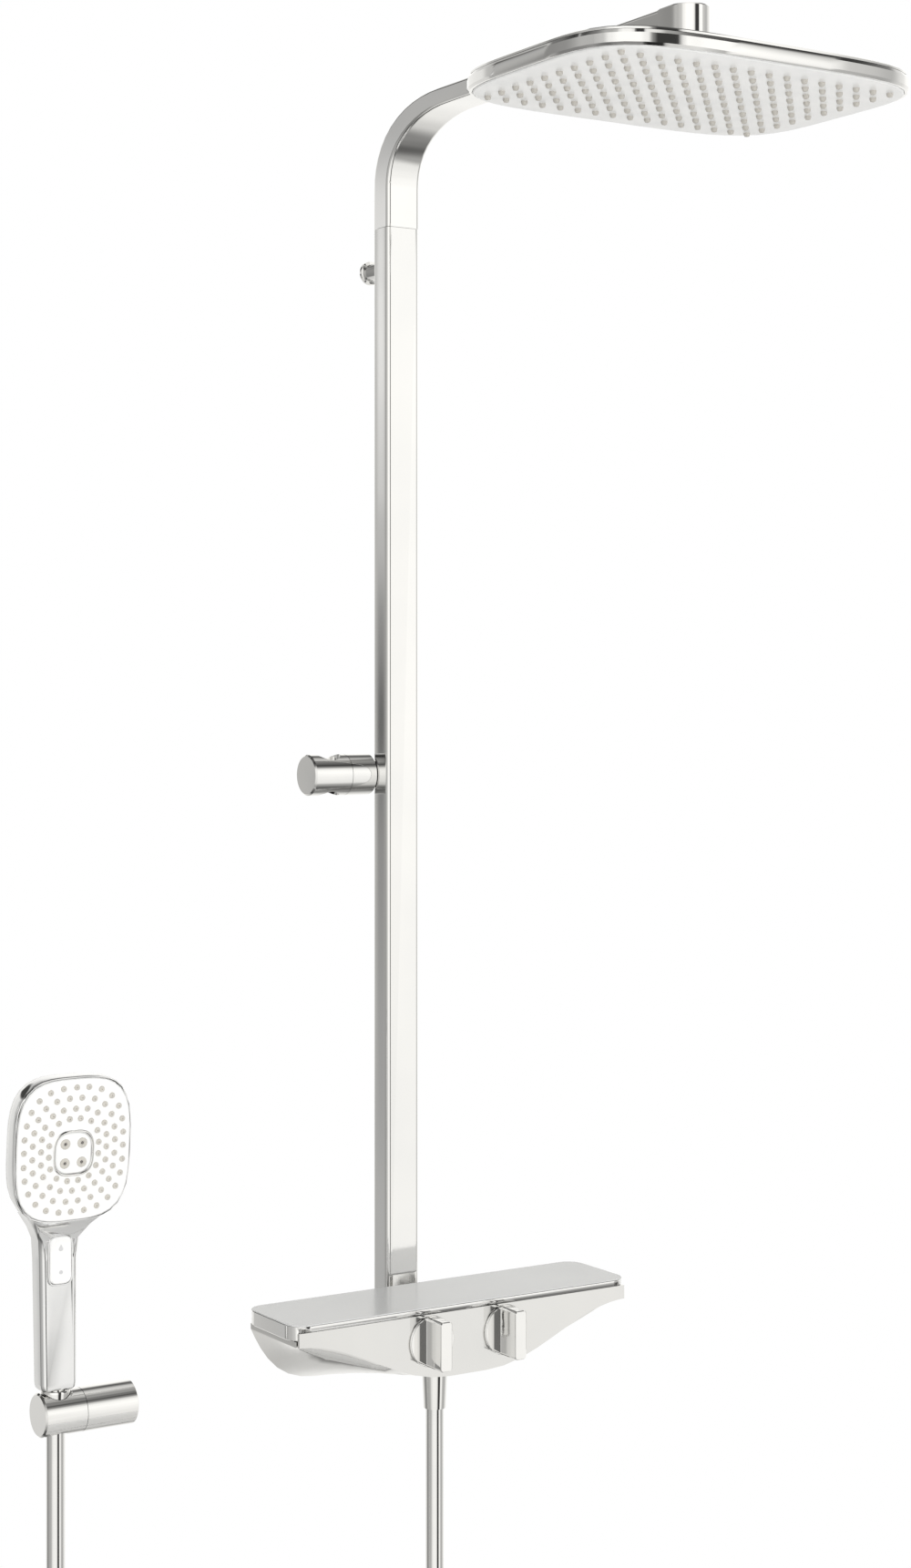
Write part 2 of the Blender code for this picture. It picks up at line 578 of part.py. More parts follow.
def front_plate():
    """Flat chrome front, hanging below the shelf's front lip to the body's bow-shaped lower edge."""
    y_front, y_back = SHELF_FRONT_Y, SHELF_FRONT_Y + FRONT_PLATE_THICK
    half = BODY_HALF_WIDTH - 1 * MM
    top = SHELF_TOP - FRONT_LIP - GAP
    count = 28
    xs = [half * sin(pi / 2 * (2 * i / count - 1)) for i in range(count + 1)]
    outline = [(x, hull_low(x, 0)) for x in xs] + [(half, top), (-half, top)]
    rings = [[(x, y, z) for x, z in outline] for y in (y_front, y_back)]
    plate = solid("mixer_front_plate", loft(rings), "chrome")
    for x in (-KNOB_X, KNOB_X):
        bore = turned(rod(SPINDLE_R + 1.5 * MM, -0.01, 0.01), 20)
        cut(plate, solid("spindle_way_cut", bore, "steel", (x, SHELF_FRONT_Y, KNOB_Z), TO_VIEWER))


BLOCK_FRONT_Y = -139 * MM
BLOCK_BACK_Y = -93 * MM
BLOCK_HALF_HEIGHT = 11.5 * MM
BLOCK_HALF_WIDTH = 92 * MM


def valve_block():
    """Brass block that takes both cartridges, both inlets, the riser and the hose outlet."""
    depth = BLOCK_BACK_Y - BLOCK_FRONT_Y
    size = (2 * BLOCK_HALF_WIDTH, depth, 2 * BLOCK_HALF_HEIGHT)
    body = solid("valve_block", block(size, (0, (BLOCK_FRONT_Y + BLOCK_BACK_Y) / 2, KNOB_Z)), "brass")
    for x in (-KNOB_X, KNOB_X):
        bore = turned(rod(CARTRIDGE_R - 3 * MM + GAP, 0, 0.05), 24)
        cut(body, solid("cartridge_bore_cut", bore, "steel", (x, BLOCK_FRONT_Y + 22 * MM, KNOB_Z), TO_VIEWER))
    for x in (-INLET_X, INLET_X):
        bore = turned(rod(7 * MM, 0, 17 * MM), 16)
        lug = turned(rod(INLET_R + 3 * MM, 0, 9 * MM), 24)
        join(body, solid("inlet_lug", lug, "brass", (x, BLOCK_BACK_Y, INLET_Z), TO_VIEWER))
        cut(body, solid("inlet_bore_cut", bore, "steel", (x, BLOCK_BACK_Y + 10 * MM, INLET_Z), TO_VIEWER))
    nipple_bore = turned(rod(NIPPLE_R + GAP, -0.03, -4 * MM), 20)
    cut(body, solid("nipple_bore_cut", nipple_bore, "steel", (0, OUTLET_Y, KNOB_Z)))


def cartridge_and_knob(name, x, bar):
    """Cartridge in the block, its spindle, and a paddle knob on a round disc, all on one axis towards the viewer."""
    front_end = BLOCK_FRONT_Y - (SHELF_FRONT_Y + FRONT_PLATE_THICK + 1.5 * MM)
    nose, seat = CARTRIDGE_R - 3 * MM, CARTRIDGE_R
    outline = [(0, -21 * MM), (nose, -21 * MM), (nose, GAP), (seat, GAP), (seat, 9 * MM), (bar, 9 * MM), (bar, front_end), (SPINDLE_R + RUNNING, front_end)]
    outline += [(SPINDLE_R + RUNNING, 3 * MM), (0, 3 * MM)]
    at = (x, BLOCK_FRONT_Y, KNOB_Z)
    solid(name + "_cartridge", turned(outline, 24), "brass", at, TO_VIEWER)
    knob_at = (x, SHELF_FRONT_Y, KNOB_Z)
    spindle_low = SHELF_FRONT_Y - BLOCK_FRONT_Y + 3.5 * MM
    solid(name + "_spindle", turned(rod(SPINDLE_R, spindle_low, 8 * MM), 16), "steel", knob_at, TO_VIEWER)
    disc = [(0, RUNNING), (KNOB_R - 0.6 * MM, RUNNING), (KNOB_R, RUNNING + 0.6 * MM), (KNOB_R, KNOB_DISC_THICK - 0.6 * MM)]
    disc += [(KNOB_R - 0.6 * MM, KNOB_DISC_THICK), (0, KNOB_DISC_THICK)]
    knob = solid(name + "_knob", turned(disc, 40), "chrome", knob_at, TO_VIEWER)
    tall = 2 * KNOB_R - 1 * MM
    front = rounded(PADDLE_WIDTH, tall, 3 * MM)
    crown = rounded(PADDLE_WIDTH - 1.6 * MM, tall - 1.6 * MM, 2.4 * MM)
    paddle = loft([level(front, RUNNING + 1 * MM), level(front, PADDLE_REACH - 0.8 * MM), level(crown, PADDLE_REACH)])
    join(knob, solid(name + "_paddle", paddle, "chrome", knob_at, TO_VIEWER))
    bore = turned(rod(SPINDLE_R + GAP, -5 * MM, 8.3 * MM), 16)
    cut(knob, solid(name + "_knob_bore_cut", bore, "steel", knob_at, TO_VIEWER))


def inlet(side, x):
    """Union nut, connecting pipe, wall rosette and filter of one water inlet."""
    reach = -BLOCK_BACK_Y
    at = (x, 0, INLET_Z)
    nut = slab([(15 * MM * cos(pi / 3 * i), 15 * MM * sin(pi / 3 * i)) for i in range(6)], reach - 12 * MM, reach - GAP)
    nut_obj = solid(f"union_nut_{side}", nut, "chrome", at, TO_VIEWER)
    cut(nut_obj, solid(f"union_nut_{side}_cut", turned(rod(INLET_R + GAP, reach - 20 * MM, reach + 10 * MM), 24), "steel", at, TO_VIEWER))
    pipe_low = 0.2 * MM
    solid(f"inlet_pipe_{side}", turned(pipe(INLET_R, INLET_R - 3 * MM, pipe_low, reach - GAP), 24), "chrome", at, TO_VIEWER)
    rose = [(INLET_R + GAP, 0), (ROSETTE_R, 0), (ROSETTE_R, 3 * MM), (ROSETTE_R - 6 * MM, ROSETTE_THICK - 2 * MM)]
    rose += [(INLET_R + 3 * MM, ROSETTE_THICK), (INLET_R + GAP, ROSETTE_THICK)]
    solid(f"wall_rosette_{side}", turned(rose, ROUND), "chrome", at, TO_VIEWER)
    strainer_r = INLET_R - 3 * MM - GAP
    outline = pipe(strainer_r, strainer_r - 1.5 * MM, reach - 9 * MM, reach - 1 * MM)
    solid(f"inlet_filter_{side}", turned(outline, 16), "steel", at, TO_VIEWER)


def column_foot():
    """Block below the column that leads the water from the valve block up into the riser."""
    depth = COLUMN_BACK_Y - COLUMN_FRONT_Y
    low, high = KNOB_Z - 9 * MM, COLUMN_FOOT - GAP
    foot = solid("column_foot", slab(rounded(COLUMN_WIDTH, depth, COLUMN_CORNER), low, high, (0, COLUMN_Y)), "chrome")
    stub_length = COLUMN_FRONT_Y - BLOCK_BACK_Y + 4 * MM
    stub_at = (0, COLUMN_FRONT_Y + 4 * MM, (low + high) / 2)
    stub = turned(rod(min(8.5 * MM, (high - low) / 2 - 1 * MM), 0, stub_length - GAP), 20)
    join(foot, solid("foot_stub", stub, "chrome", stub_at, TO_VIEWER))


# ---------------------------------------------------------------- hose and its ends


def hose_ends():
    """Outlet nipple, washer and cone nut at the mixer."""
    at = (0, OUTLET_Y, LOW_NUT_TOP)
    top = KNOB_Z - LOW_NUT_TOP - 4 * MM - GAP
    bore, room = NIPPLE_R, LOW_NUT_LENGTH - 12 * MM
    solid("outlet_nipple", turned(pipe(bore, bore - 2.5 * MM, -room + 4 * MM, top - 1 * MM), 20), "brass", at)
    solid("hose_washer", turned(pipe(bore, 4 * MM, -room + 1 * MM, -room + 4 * MM - GAP), 16), "rubber", at)
    nut = [(bore + GAP, 0), (bore + GAP, -room), (HOSE_R + GAP, -room), (HOSE_R + GAP, -LOW_NUT_LENGTH)]
    nut += [(NUT_END_R, -LOW_NUT_LENGTH), (NUT_TOP_R, -3 * MM), (NUT_TOP_R - 0.8 * MM, 0)]
    solid("hose_nut_lower", turned(nut, 28), "chrome", at)


NUT_IN_SOCKET = 31 * MM  # length of the hand shower's cone nut


def hose_route():
    """Points of the hose: down from the mixer, round a hanging loop, and up into the hand shower's nut."""
    start = Vector((0, OUTLET_Y, LOW_NUT_TOP - LOW_NUT_LENGTH + 11 * MM))
    end = Vector((BRACKET_SOCKET_X, BARREL_Y, BRACKET_Z + BARREL_R - NUT_IN_SOCKET + 9 * MM))
    across = Vector((end.x - start.x, end.y - start.y, 0))
    radius = across.length / 2
    across.normalize()
    centre_z = (start.z + end.z - (HOSE_LENGTH - pi * radius)) / 2
    centre = Vector((start.x, start.y, centre_z)) + across * radius
    points = [start + Vector((0, 0, (centre_z - start.z) * i / 10)) for i in range(10)]
    for i in range(15):
        angle = pi * i / 14
        points.append(centre - across * radius * cos(angle) - Vector((0, 0, radius * sin(angle))))
    points += [Vector((end.x, end.y, centre_z + (end.z - centre_z) * (i + 1) / 10)) for i in range(10)]
    return points


def shower_hose():
    curve = bpy.data.curves.new("shower_hose", "CURVE")
    curve.dimensions = "3D"
    curve.bevel_depth = HOSE_R
    curve.bevel_resolution = 3
    curve.use_fill_caps = True
    spline = curve.splines.new("POLY")
    points = hose_route()
    spline.points.add(len(points) - 1)
    for place, point in zip(spline.points, points):
        place.co = (*point, 1)
    curve.materials.append(material("hose"))
    bpy.context.scene.collection.objects.link(bpy.data.objects.new("shower_hose", curve))


# ---------------------------------------------------------------- hand shower


def hand_shower():
    """Back shell with handle, face plate, spray disc, centre insert, mat, rocker and cone nut, all above the barrel."""
    base = (BRACKET_SOCKET_X, BARREL_Y, BRACKET_Z + BARREL_R + 1 * MM)
    face_half = FACE_HEIGHT / 2
    face_z = SHOWER_HEIGHT - face_half * cos(FACE_LEAN)
    face_centre = Vector((0, -FACE_FORWARD, face_z))
    lean = Matrix.Rotation(FACE_LEAN, 4, "X")

    def on_face(outline, forward):
        """Points of an outline in the leaning face's plane, moved forward of it."""
        return [face_centre + (lean @ Vector((x, -forward, z))) for x, z in outline]

    def face_outline(inset, count=48):
        return squircle(FACE_WIDTH / 2 - inset, face_half - inset, FACE_POWER, count)

    back = [on_face(face_outline(i), f) for i, f in ((7 * MM, -HEAD_THICK), (2 * MM, 3 * MM - HEAD_THICK), (0.2 * MM, -12 * MM), (0, -2 * MM), (0.7 * MM, 0))]
    shell = solid("handset_shell", loft(back), "chrome", base)
    handle = []
    neck_z = face_centre.z - face_half
    stations = (
        (1.5 * MM, 2.5 * MM, 0.84),
        (3 * MM, 2.5 * MM, 0.91),
        (7 * MM, 2.5 * MM, 0.95),
        (60 * MM, 3.5 * MM, 0.98),
        (BUTTON_Z, HANDLE_LEAN, 1.0),
        (neck_z - 18 * MM, 3 * MM, 1.1),
        (neck_z - 6 * MM, -5 * MM, 1.55),
        (neck_z + 10 * MM, -FACE_FORWARD + 16 * MM, 2.4),
    )
    for z, y, spread in stations:
        half = HANDLE_WIDTH * spread / 2
        outline = rounded(2 * half, HANDLE_DEPTH * min(spread, 1) - HANDLE_BULGE, 4 * MM)
        bulged = [(x, v - HANDLE_BULGE * (1 - (x / half) ** 2) * (0.5 if v < 0 else -0.1)) for x, v in outline]
        handle.append([(x, y + v - HANDLE_BULGE * (0.5 if v < 0 else 0), z) for x, v in bulged])
    join(shell, solid("handle_grip", loft(handle), "chrome", base))
    room_depth = 9 * MM
    room = [on_face(face_outline(FACE_RIM), f) for f in (-room_depth, 5 * MM)]
    cut(shell, solid("face_room_cut", loft(room), "steel", base))
    front_y = HANDLE_LEAN - HANDLE_DEPTH / 2 - HANDLE_BULGE * 0.45
    button_at = (base[0], base[1] + front_y + 0.5 * MM, base[2] + BUTTON_Z)
    pocket = loft([[(x, y, z) for x, z in rounded(BUTTON_WIDTH + 1.2 * MM, BUTTON_HEIGHT + 1.2 * MM, 6.6 * MM)] for y in (-12 * MM, 6 * MM)])
    cut(shell, solid("button_pocket_cut", pocket, "steel", button_at))
    cone_bore = turned(rod(8 * MM, -10 * MM, 14 * MM), 20)
    cut(shell, solid("thread_cut", cone_bore, "steel", base))
    plate = [on_face(face_outline(i), f) for i, f in ((FACE_RIM + GAP, -3 * MM), (FACE_RIM + GAP, 0.4 * MM), (FACE_RIM + 1 * MM, 1.2 * MM))]
    face = solid("handset_face", loft(plate), "white_plastic", base)
    drop = 3 * MM  # of the insert, below the middle of the face
    hole = [(x, z - drop) for x, z in rounded(34 * MM, 36 * MM, 12 * MM, 6)]
    cut(face, solid("insert_way_cut", loft([on_face(hole, f) for f in (-10 * MM, 10 * MM)]), "steel", base))
    insert = [[(x * s, z * s - drop) for x, z in rounded(33 * MM, 35 * MM, 11.5 * MM, 6)] for s in (1, 1, 0.94)]
    solid("handset_insert", loft([on_face(o, f) for o, f in zip(insert, (-3 * MM, 0.2 * MM, 0.9 * MM))]), "white_plastic", base)
    mat = [on_face(face_outline(FACE_RIM + 2.4 * MM), f) for f in (-5.6 * MM, -3 * MM - GAP)]
    solid("handset_nozzle_mat", loft(mat), "silicone", base)
    chamber = [on_face(face_outline(FACE_RIM + 2.4 * MM), f) for f in (0.4 * MM - room_depth, -5.6 * MM - GAP)]
    solid("handset_water_plate", loft(chamber), "dark_plastic", base)
    rocker = rounded(BUTTON_WIDTH, BUTTON_HEIGHT, 6 * MM)
    crown = rounded(BUTTON_WIDTH - 2 * MM, BUTTON_HEIGHT - 2 * MM, 5 * MM)
    steps = ((rocker, 2.4), (rocker, -1.0), (crown, -1.9))
    solid("select_button", loft([[(x, y * MM, z) for x, z in o] for o, y in steps]), "white_plastic", button_at)
    top = 13 * MM
    nut = [(6 * MM, top - GAP), (8 * MM - GAP, top - GAP), (8 * MM - GAP, 0.5 * MM), (SOCKET_TOP_R - 0.8 * MM, 0.5 * MM), (SOCKET_TOP_R - 0.4 * MM, -1.2 * MM)]
    nut += [(SOCKET_LOW_R - 0.8 * MM, -NUT_IN_SOCKET), (HOSE_R + GAP, -NUT_IN_SOCKET), (HOSE_R + GAP, -NUT_IN_SOCKET + 10.5 * MM), (6 * MM, -NUT_IN_SOCKET + 10.5 * MM)]
    solid("hose_nut_upper", turned(nut, 28), "chrome", base)


def main():
    clear_scene()
    riser_column()
    inner_water_pipe()
    column_keys()
    bend_and_arm()
    upper_wall_bracket()
    slider()
    wall_bracket()
    overhead_shower()
    ball_joint_rings()
    shelf()
    mixer_shell()
    front_plate()
    valve_block()
    cartridge_and_knob("diverter", -KNOB_X, 8 * MM)
    cartridge_and_knob("thermostat", KNOB_X, 9 * MM)
    inlet("left", -INLET_X)
    inlet("right", INLET_X)
    column_foot()
    hose_ends()
    shower_hose()
    hand_shower()


main()
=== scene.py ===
"""Rainfall shower column: finishes, nozzles, hose and studio round the CAD frame.

Metres. The wall is Y = 0, with the object on its negative side, and Z is up.
"""

import json
from math import cos, pi, radians, sin

import bmesh
import bpy
from mathutils import Matrix, Vector


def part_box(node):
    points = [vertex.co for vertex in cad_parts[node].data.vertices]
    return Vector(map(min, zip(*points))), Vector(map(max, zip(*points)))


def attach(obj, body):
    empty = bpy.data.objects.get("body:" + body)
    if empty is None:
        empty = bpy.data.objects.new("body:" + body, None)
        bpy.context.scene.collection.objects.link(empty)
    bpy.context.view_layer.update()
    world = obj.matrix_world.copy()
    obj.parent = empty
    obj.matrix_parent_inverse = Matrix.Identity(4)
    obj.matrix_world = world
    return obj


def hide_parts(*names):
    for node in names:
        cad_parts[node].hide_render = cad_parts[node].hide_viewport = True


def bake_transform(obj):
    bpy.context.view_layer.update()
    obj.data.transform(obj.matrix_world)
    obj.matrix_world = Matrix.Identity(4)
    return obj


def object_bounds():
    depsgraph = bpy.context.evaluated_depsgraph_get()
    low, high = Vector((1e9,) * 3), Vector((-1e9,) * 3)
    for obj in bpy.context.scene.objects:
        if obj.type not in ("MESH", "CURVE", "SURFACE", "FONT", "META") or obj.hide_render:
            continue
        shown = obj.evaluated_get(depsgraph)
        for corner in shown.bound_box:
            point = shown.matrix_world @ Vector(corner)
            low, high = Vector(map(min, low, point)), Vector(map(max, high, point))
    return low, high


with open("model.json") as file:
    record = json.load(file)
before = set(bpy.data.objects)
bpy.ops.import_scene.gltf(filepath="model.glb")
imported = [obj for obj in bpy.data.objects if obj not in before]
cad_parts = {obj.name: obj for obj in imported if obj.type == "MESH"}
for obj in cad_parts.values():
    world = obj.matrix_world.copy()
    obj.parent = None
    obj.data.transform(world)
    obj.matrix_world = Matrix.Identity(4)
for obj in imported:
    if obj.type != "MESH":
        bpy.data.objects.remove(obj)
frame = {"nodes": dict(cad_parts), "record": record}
cad_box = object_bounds()

# ---------------------------------------------------------------- camera
# A long lens held level, a little below the overhead shower and well to the left of the column.
# The lens is shifted down, so that upright edges stay upright in the picture.

camera_data = bpy.data.cameras.new("studio_camera")
camera_data.lens = 104.4
camera_data.sensor_width = 36
camera_data.sensor_fit = "HORIZONTAL"
camera_data.shift_y = -0.111
camera_data.clip_end = 50
camera = bpy.data.objects.new("studio_camera", camera_data)
camera.location = (-1.2558, -2.1086, -0.380)
camera.rotation_euler = (radians(90), 0, radians(-32.632))
bpy.context.scene.collection.objects.link(camera)
bpy.context.scene.camera = camera

# ---------------------------------------------------------------- hose
# A smooth silver shower hose, 16 mm thick and 1.25 m long from nut to nut.
# It hangs in one free loop from the mixer's outlet to the cone nut in the wall holder.

HOSE_R = 0.008
HOSE_SIDES = 32
HOSE_IN_NUT = 0.011  # how far the hose reaches up into the mixer's nut
HOSE_IN_CONE = 0.009  # and into the hand shower's cone nut
UPPER_LENGTH = 0.120  # the short stretch up into the hand shower's cone nut
STRAIGHT_STEPS = 12
LOOP_STEPS = 48
HOSE_SHARP = 60  # degrees past which an edge stays sharp, as round the hose's flat ends


def node_adder(nodes):
    """A helper that adds a node and sets each value as its property or as its input."""

    def add(kind, **settings):
        node = nodes.new(kind)
        for key, value in settings.items():
            if hasattr(node, key):
                setattr(node, key, value)
            else:
                node.inputs[key].default_value = value
        return node

    return add


def node_tree(name):
    """A new material, its Principled shader, a helper that adds nodes and one that joins them."""
    made = bpy.data.materials.new(name)
    made.use_nodes = True
    nodes = made.node_tree.nodes
    return made, nodes["Principled BSDF"], node_adder(nodes), made.node_tree.links.new


def group_sockets(group, inputs, outputs):
    for name, kind, value in inputs:
        socket = group.interface.new_socket(name, in_out="INPUT", socket_type=kind)
        socket.default_value = value
    for name, kind in outputs:
        group.interface.new_socket(name, in_out="OUTPUT", socket_type=kind)


# Every smooth finish shares this: soft clouds, as from wiping, in its colour and its gloss.
wipe_marks = bpy.data.node_groups.new("wipe_marks", "ShaderNodeTree")
group_sockets(
    wipe_marks,
    [
        ("Colour", "NodeSocketColor", (0.8, 0.8, 0.8, 1)),
        ("Roughness", "NodeSocketFloat", 0.06),
        ("Spread", "NodeSocketFloat", 0.03),
        ("Scale", "NodeSocketFloat", 18.0),
    ],
    [("Colour", "NodeSocketColor"), ("Roughness", "NodeSocketFloat")],
)
g_add, g_join = node_adder(wipe_marks.nodes), wipe_marks.links.new
g_in = g_add("NodeGroupInput")
g_out = g_add("NodeGroupOutput")
g_place = g_add("ShaderNodeTexCoord")
g_cloud = g_add("ShaderNodeTexNoise", Detail=3)
g_range = g_add("ShaderNodeMapRange")
g_range.inputs["From Min"].default_value = 0.35
g_range.inputs["From Max"].default_value = 0.7
g_rough = g_add("ShaderNodeMath", operation="MULTIPLY_ADD")
g_tint = g_add("ShaderNodeMix", data_type="RGBA", blend_type="MULTIPLY")
g_tint.inputs["B"].default_value = (0.955, 0.96, 0.965, 1)
g_join(g_place.outputs["Object"], g_cloud.inputs["Vector"])
g_join(g_in.outputs["Scale"], g_cloud.inputs["Scale"])
g_join(g_cloud.outputs["Fac"], g_range.inputs["Value"])
g_join(g_range.outputs["Result"], g_rough.inputs[0])
g_join(g_in.outputs["Spread"], g_rough.inputs[1])
g_join(g_in.outputs["Roughness"], g_rough.inputs[2])
g_join(g_range.outputs["Result"], g_tint.inputs["Factor"])
g_join(g_in.outputs["Colour"], g_tint.inputs["A"])
g_join(g_tint.outputs["Result"], g_out.inputs["Colour"])
g_join(g_rough.outputs["Value"], g_out.inputs["Roughness"])


def gloss_finish(name, colour, roughness, metallic, spread=0.03, scale=18.0, coat=0.0):
    """A finish whose colour and gloss come from the shared wipe marks, with a clear coat if asked."""
    made, shader, add, join = node_tree(name)
    marks = add("ShaderNodeGroup", node_tree=wipe_marks)
    marks.inputs["Colour"].default_value = (*colour, 1)
    marks.inputs["Roughness"].default_value = roughness
    marks.inputs["Spread"].default_value = spread
    marks.inputs["Scale"].default_value = scale
    join(marks.outputs["Colour"], shader.inputs["Base Color"])
    join(marks.outputs["Roughness"], shader.inputs["Roughness"])
    shader.inputs["Metallic"].default_value = metallic
    shader.inputs["Coat Weight"].default_value = coat
    return made


def mesh_piece(name, bm, finish, body, replaced=(), angle=32):
    """Turns a bmesh, whose points are in the frame, into a smooth piece that rides on a body."""
    mesh = bpy.data.meshes.new(name)
    bm.to_mesh(mesh)
    bm.free()
    mesh.shade_smooth()
    mesh.set_sharp_from_angle(angle=radians(angle))
    mesh.materials.append(finish)
    piece = bpy.data.objects.new(name, mesh)
    bpy.context.scene.collection.objects.link(piece)
    if body:
        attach(piece, body)
    if replaced:
        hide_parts(*replaced)
    return piece


def skin(bm, rings, band=False):
    """Quads from ring to ring and two flat ends, or, for a band, quads back to the first ring."""
    sides = len(rings[0])
    for low, high in zip(rings, rings[1:] + (rings[:1] if band else [])):
        for k in range(sides):
            j = (k + 1) % sides
            bm.faces.new((low[k], low[j], high[j], high[k]))
    if not band:
        bm.faces.new(rings[0][::-1])
        bm.faces.new(rings[-1])
    bmesh.ops.recalc_face_normals(bm, faces=bm.faces)


def swept(points, r, sides):
    """A closed round tube along points, with flat ends."""
    bm = bmesh.new()
    rings = []
    side = None
    angles = [2 * pi * k / sides for k in range(sides)]
    for i, point in enumerate(points):
        before, after = points[max(i - 1, 0)], points[min(i + 1, len(points) - 1)]
        along = (after - before).normalized()
        if side is None:
            side = along.orthogonal().normalized()
        side = (side - along * side.dot(along)).normalized()
        up = along.cross(side)
        rings.append([bm.verts.new(point + (side * cos(a) + up * sin(a)) * r) for a in angles])
    skin(bm, rings)
    return bm


def middle_of(low, high):
    return Vector([(a + b) / 2 for a, b in zip(low, high)])


hose_silver, hose_shader, hose_add, hose_join = node_tree("hose_silver")
hose_marks = hose_add("ShaderNodeGroup", node_tree=wipe_marks)
hose_marks.inputs["Colour"].default_value = (0.87, 0.865, 0.855, 1)
hose_marks.inputs["Roughness"].default_value = 0.06
hose_marks.inputs["Scale"].default_value = 30
hose_rib = hose_add("ShaderNodeTexWave", wave_type="BANDS", bands_direction="Z", Scale=160.0)
hose_place = hose_add("ShaderNodeTexCoord")
hose_bump = hose_add("ShaderNodeBump", Strength=0.01, Distance=0.0002)
hose_join(hose_place.outputs["Object"], hose_rib.inputs["Vector"])
hose_join(hose_rib.outputs["Fac"], hose_bump.inputs["Height"])
hose_join(hose_bump.outputs["Normal"], hose_shader.inputs["Normal"])
hose_join(hose_marks.outputs["Colour"], hose_shader.inputs["Base Color"])
hose_join(hose_marks.outputs["Roughness"], hose_shader.inputs["Roughness"])
hose_shader.inputs["Metallic"].default_value = 1.0

nut_low, nut_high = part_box("hose_nut_lower")
cone_low, cone_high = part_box("hose_nut_upper")
hose_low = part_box("shower_hose")[0]
nut_middle, cone_middle = middle_of(nut_low, nut_high), middle_of(cone_low, cone_high)
hose_start = Vector((nut_middle.x, nut_middle.y, nut_low[2] + HOSE_IN_NUT))
hose_end = Vector((cone_middle.x, cone_middle.y, cone_low[2] + HOSE_IN_CONE))
across = Vector((hose_end.x - hose_start.x, hose_end.y - hose_start.y, 0))
loop_r = across.length / 2
across.normalize()
loop_z = hose_low[2] + HOSE_R + loop_r
loop_centre = Vector((hose_start.x, hose_start.y, loop_z)) + across * loop_r
BREAK_Z = hose_end.z - UPPER_LENGTH  # below the holder's barrel, where the short upper stretch begins


def upright(foot, low_z, high_z, steps):
    """Even places from one height to another over a foot, both ends included."""
    return [Vector((foot.x, foot.y, low_z + (high_z - low_z) * i / steps)) for i in range(steps + 1)]


route = upright(hose_start, hose_start.z, loop_z, STRAIGHT_STEPS)[:-1]
for i in range(LOOP_STEPS + 1):
    angle = pi * i / LOOP_STEPS
    route.append(loop_centre - across * loop_r * cos(angle) - Vector((0, 0, loop_r * sin(angle))))
route += upright(hose_end, loop_z, BREAK_Z, STRAIGHT_STEPS)[1:]
upper_route = upright(hose_end, BREAK_Z, hose_end.z, STRAIGHT_STEPS)


loop_tube = swept(route, HOSE_R, HOSE_SIDES)
hose = mesh_piece("hose_loop", loop_tube, hose_silver, None, ["shower_hose"], HOSE_SHARP)
upper_tube = swept(upper_route, HOSE_R, HOSE_SIDES)
hose_upper = mesh_piece("hose_upper_end", upper_tube, hose_silver, None, (), HOSE_SHARP)
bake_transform(hose)
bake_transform(hose_upper)

# ---------------------------------------------------------------- riser column, bend and arm
# The riser is a chrome-plated extrusion; the bend and arm are one chrome casting screwed to its top.
# Their finished copies keep the CAD shape, with flat faces that stay flat in a reflection.

WELD_DISTANCE = 2e-6
COPLANAR = radians(0.6)
# The extrusion's front has a shallow shoulder down each long edge: (start from the middle, depth, slope).
RISER_SHOULDER = (0.0116, 0.0036, 0.18)

bodies = frame["record"]["behaviour"]["bodies"]
body_of_node = {node: body for body, nodes in bodies.items() for node in nodes}
slot_of_node = {part["node"]: part["material_slot"] for part in frame["record"]["subparts"]}


def finished(node, name, finish, angle=32, shoulder=None):
    """A welded, smooth copy of a CAD node, in its own finish, that stands for the node."""
    bm = bmesh.new()
    bm.from_mesh(frame["nodes"][node].data)
    bmesh.ops.remove_doubles(bm, verts=bm.verts, dist=WELD_DISTANCE)
    if shoulder:
        start, depth, slope = shoulder
        for side in (-1, 1):
            geometry = bm.verts[:] + bm.edges[:] + bm.faces[:]
            place = (side * start, 0, 0)
            bmesh.ops.bisect_plane(bm, geom=geometry, plane_co=place, plane_no=(1, 0, 0))
        front = min(v.co.y for v in bm.verts)
        for v in bm.verts:
            if v.co.y < front + depth and abs(v.co.x) > start:
                v.co.y += (abs(v.co.x) - start) * slope
    bmesh.ops.dissolve_limit(bm, angle_limit=COPLANAR, verts=bm.verts, edges=bm.edges)
    mesh = bpy.data.meshes.new(name)
    bm.to_mesh(mesh)
    bm.free()
    mesh.shade_smooth()
    mesh.set_sharp_from_angle(angle=radians(angle))
    mesh.materials.clear()
    mesh.materials.append(finish)
    raw = bpy.data.objects.new(name, mesh)
    bpy.context.scene.collection.objects.link(raw)
    weighted = raw.modifiers.new("flat_faces", "WEIGHTED_NORMAL")
    weighted.keep_sharp = True
    made = bpy.data.meshes.new_from_object(raw.evaluated_get(bpy.context.evaluated_depsgraph_get()))
    raw.modifiers.clear()
    raw.data = made
    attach(raw, body_of_node[node])
    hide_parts(node)
    return raw


chrome = gloss_finish("polished_chrome", (0.875, 0.869, 0.856), 0.035, 1.0)
column_chrome = gloss_finish("extruded_chrome", (0.875, 0.869, 0.856), 0.05, 1.0, 0.04, 9.0)
finished("riser_column", "riser_polished", column_chrome, shoulder=RISER_SHOULDER)
finished("bend_and_arm", "bend_and_arm_polished", chrome)
finished("upper_wall_bracket", "upper_bracket_polished", chrome)

# ---------------------------------------------------------------- hand shower holders
# Two chrome barrels on one sideways axis: a fixed half, and a turning half with the cone socket.
# One pair slides on the riser, the other stands on its own post at the lower left.

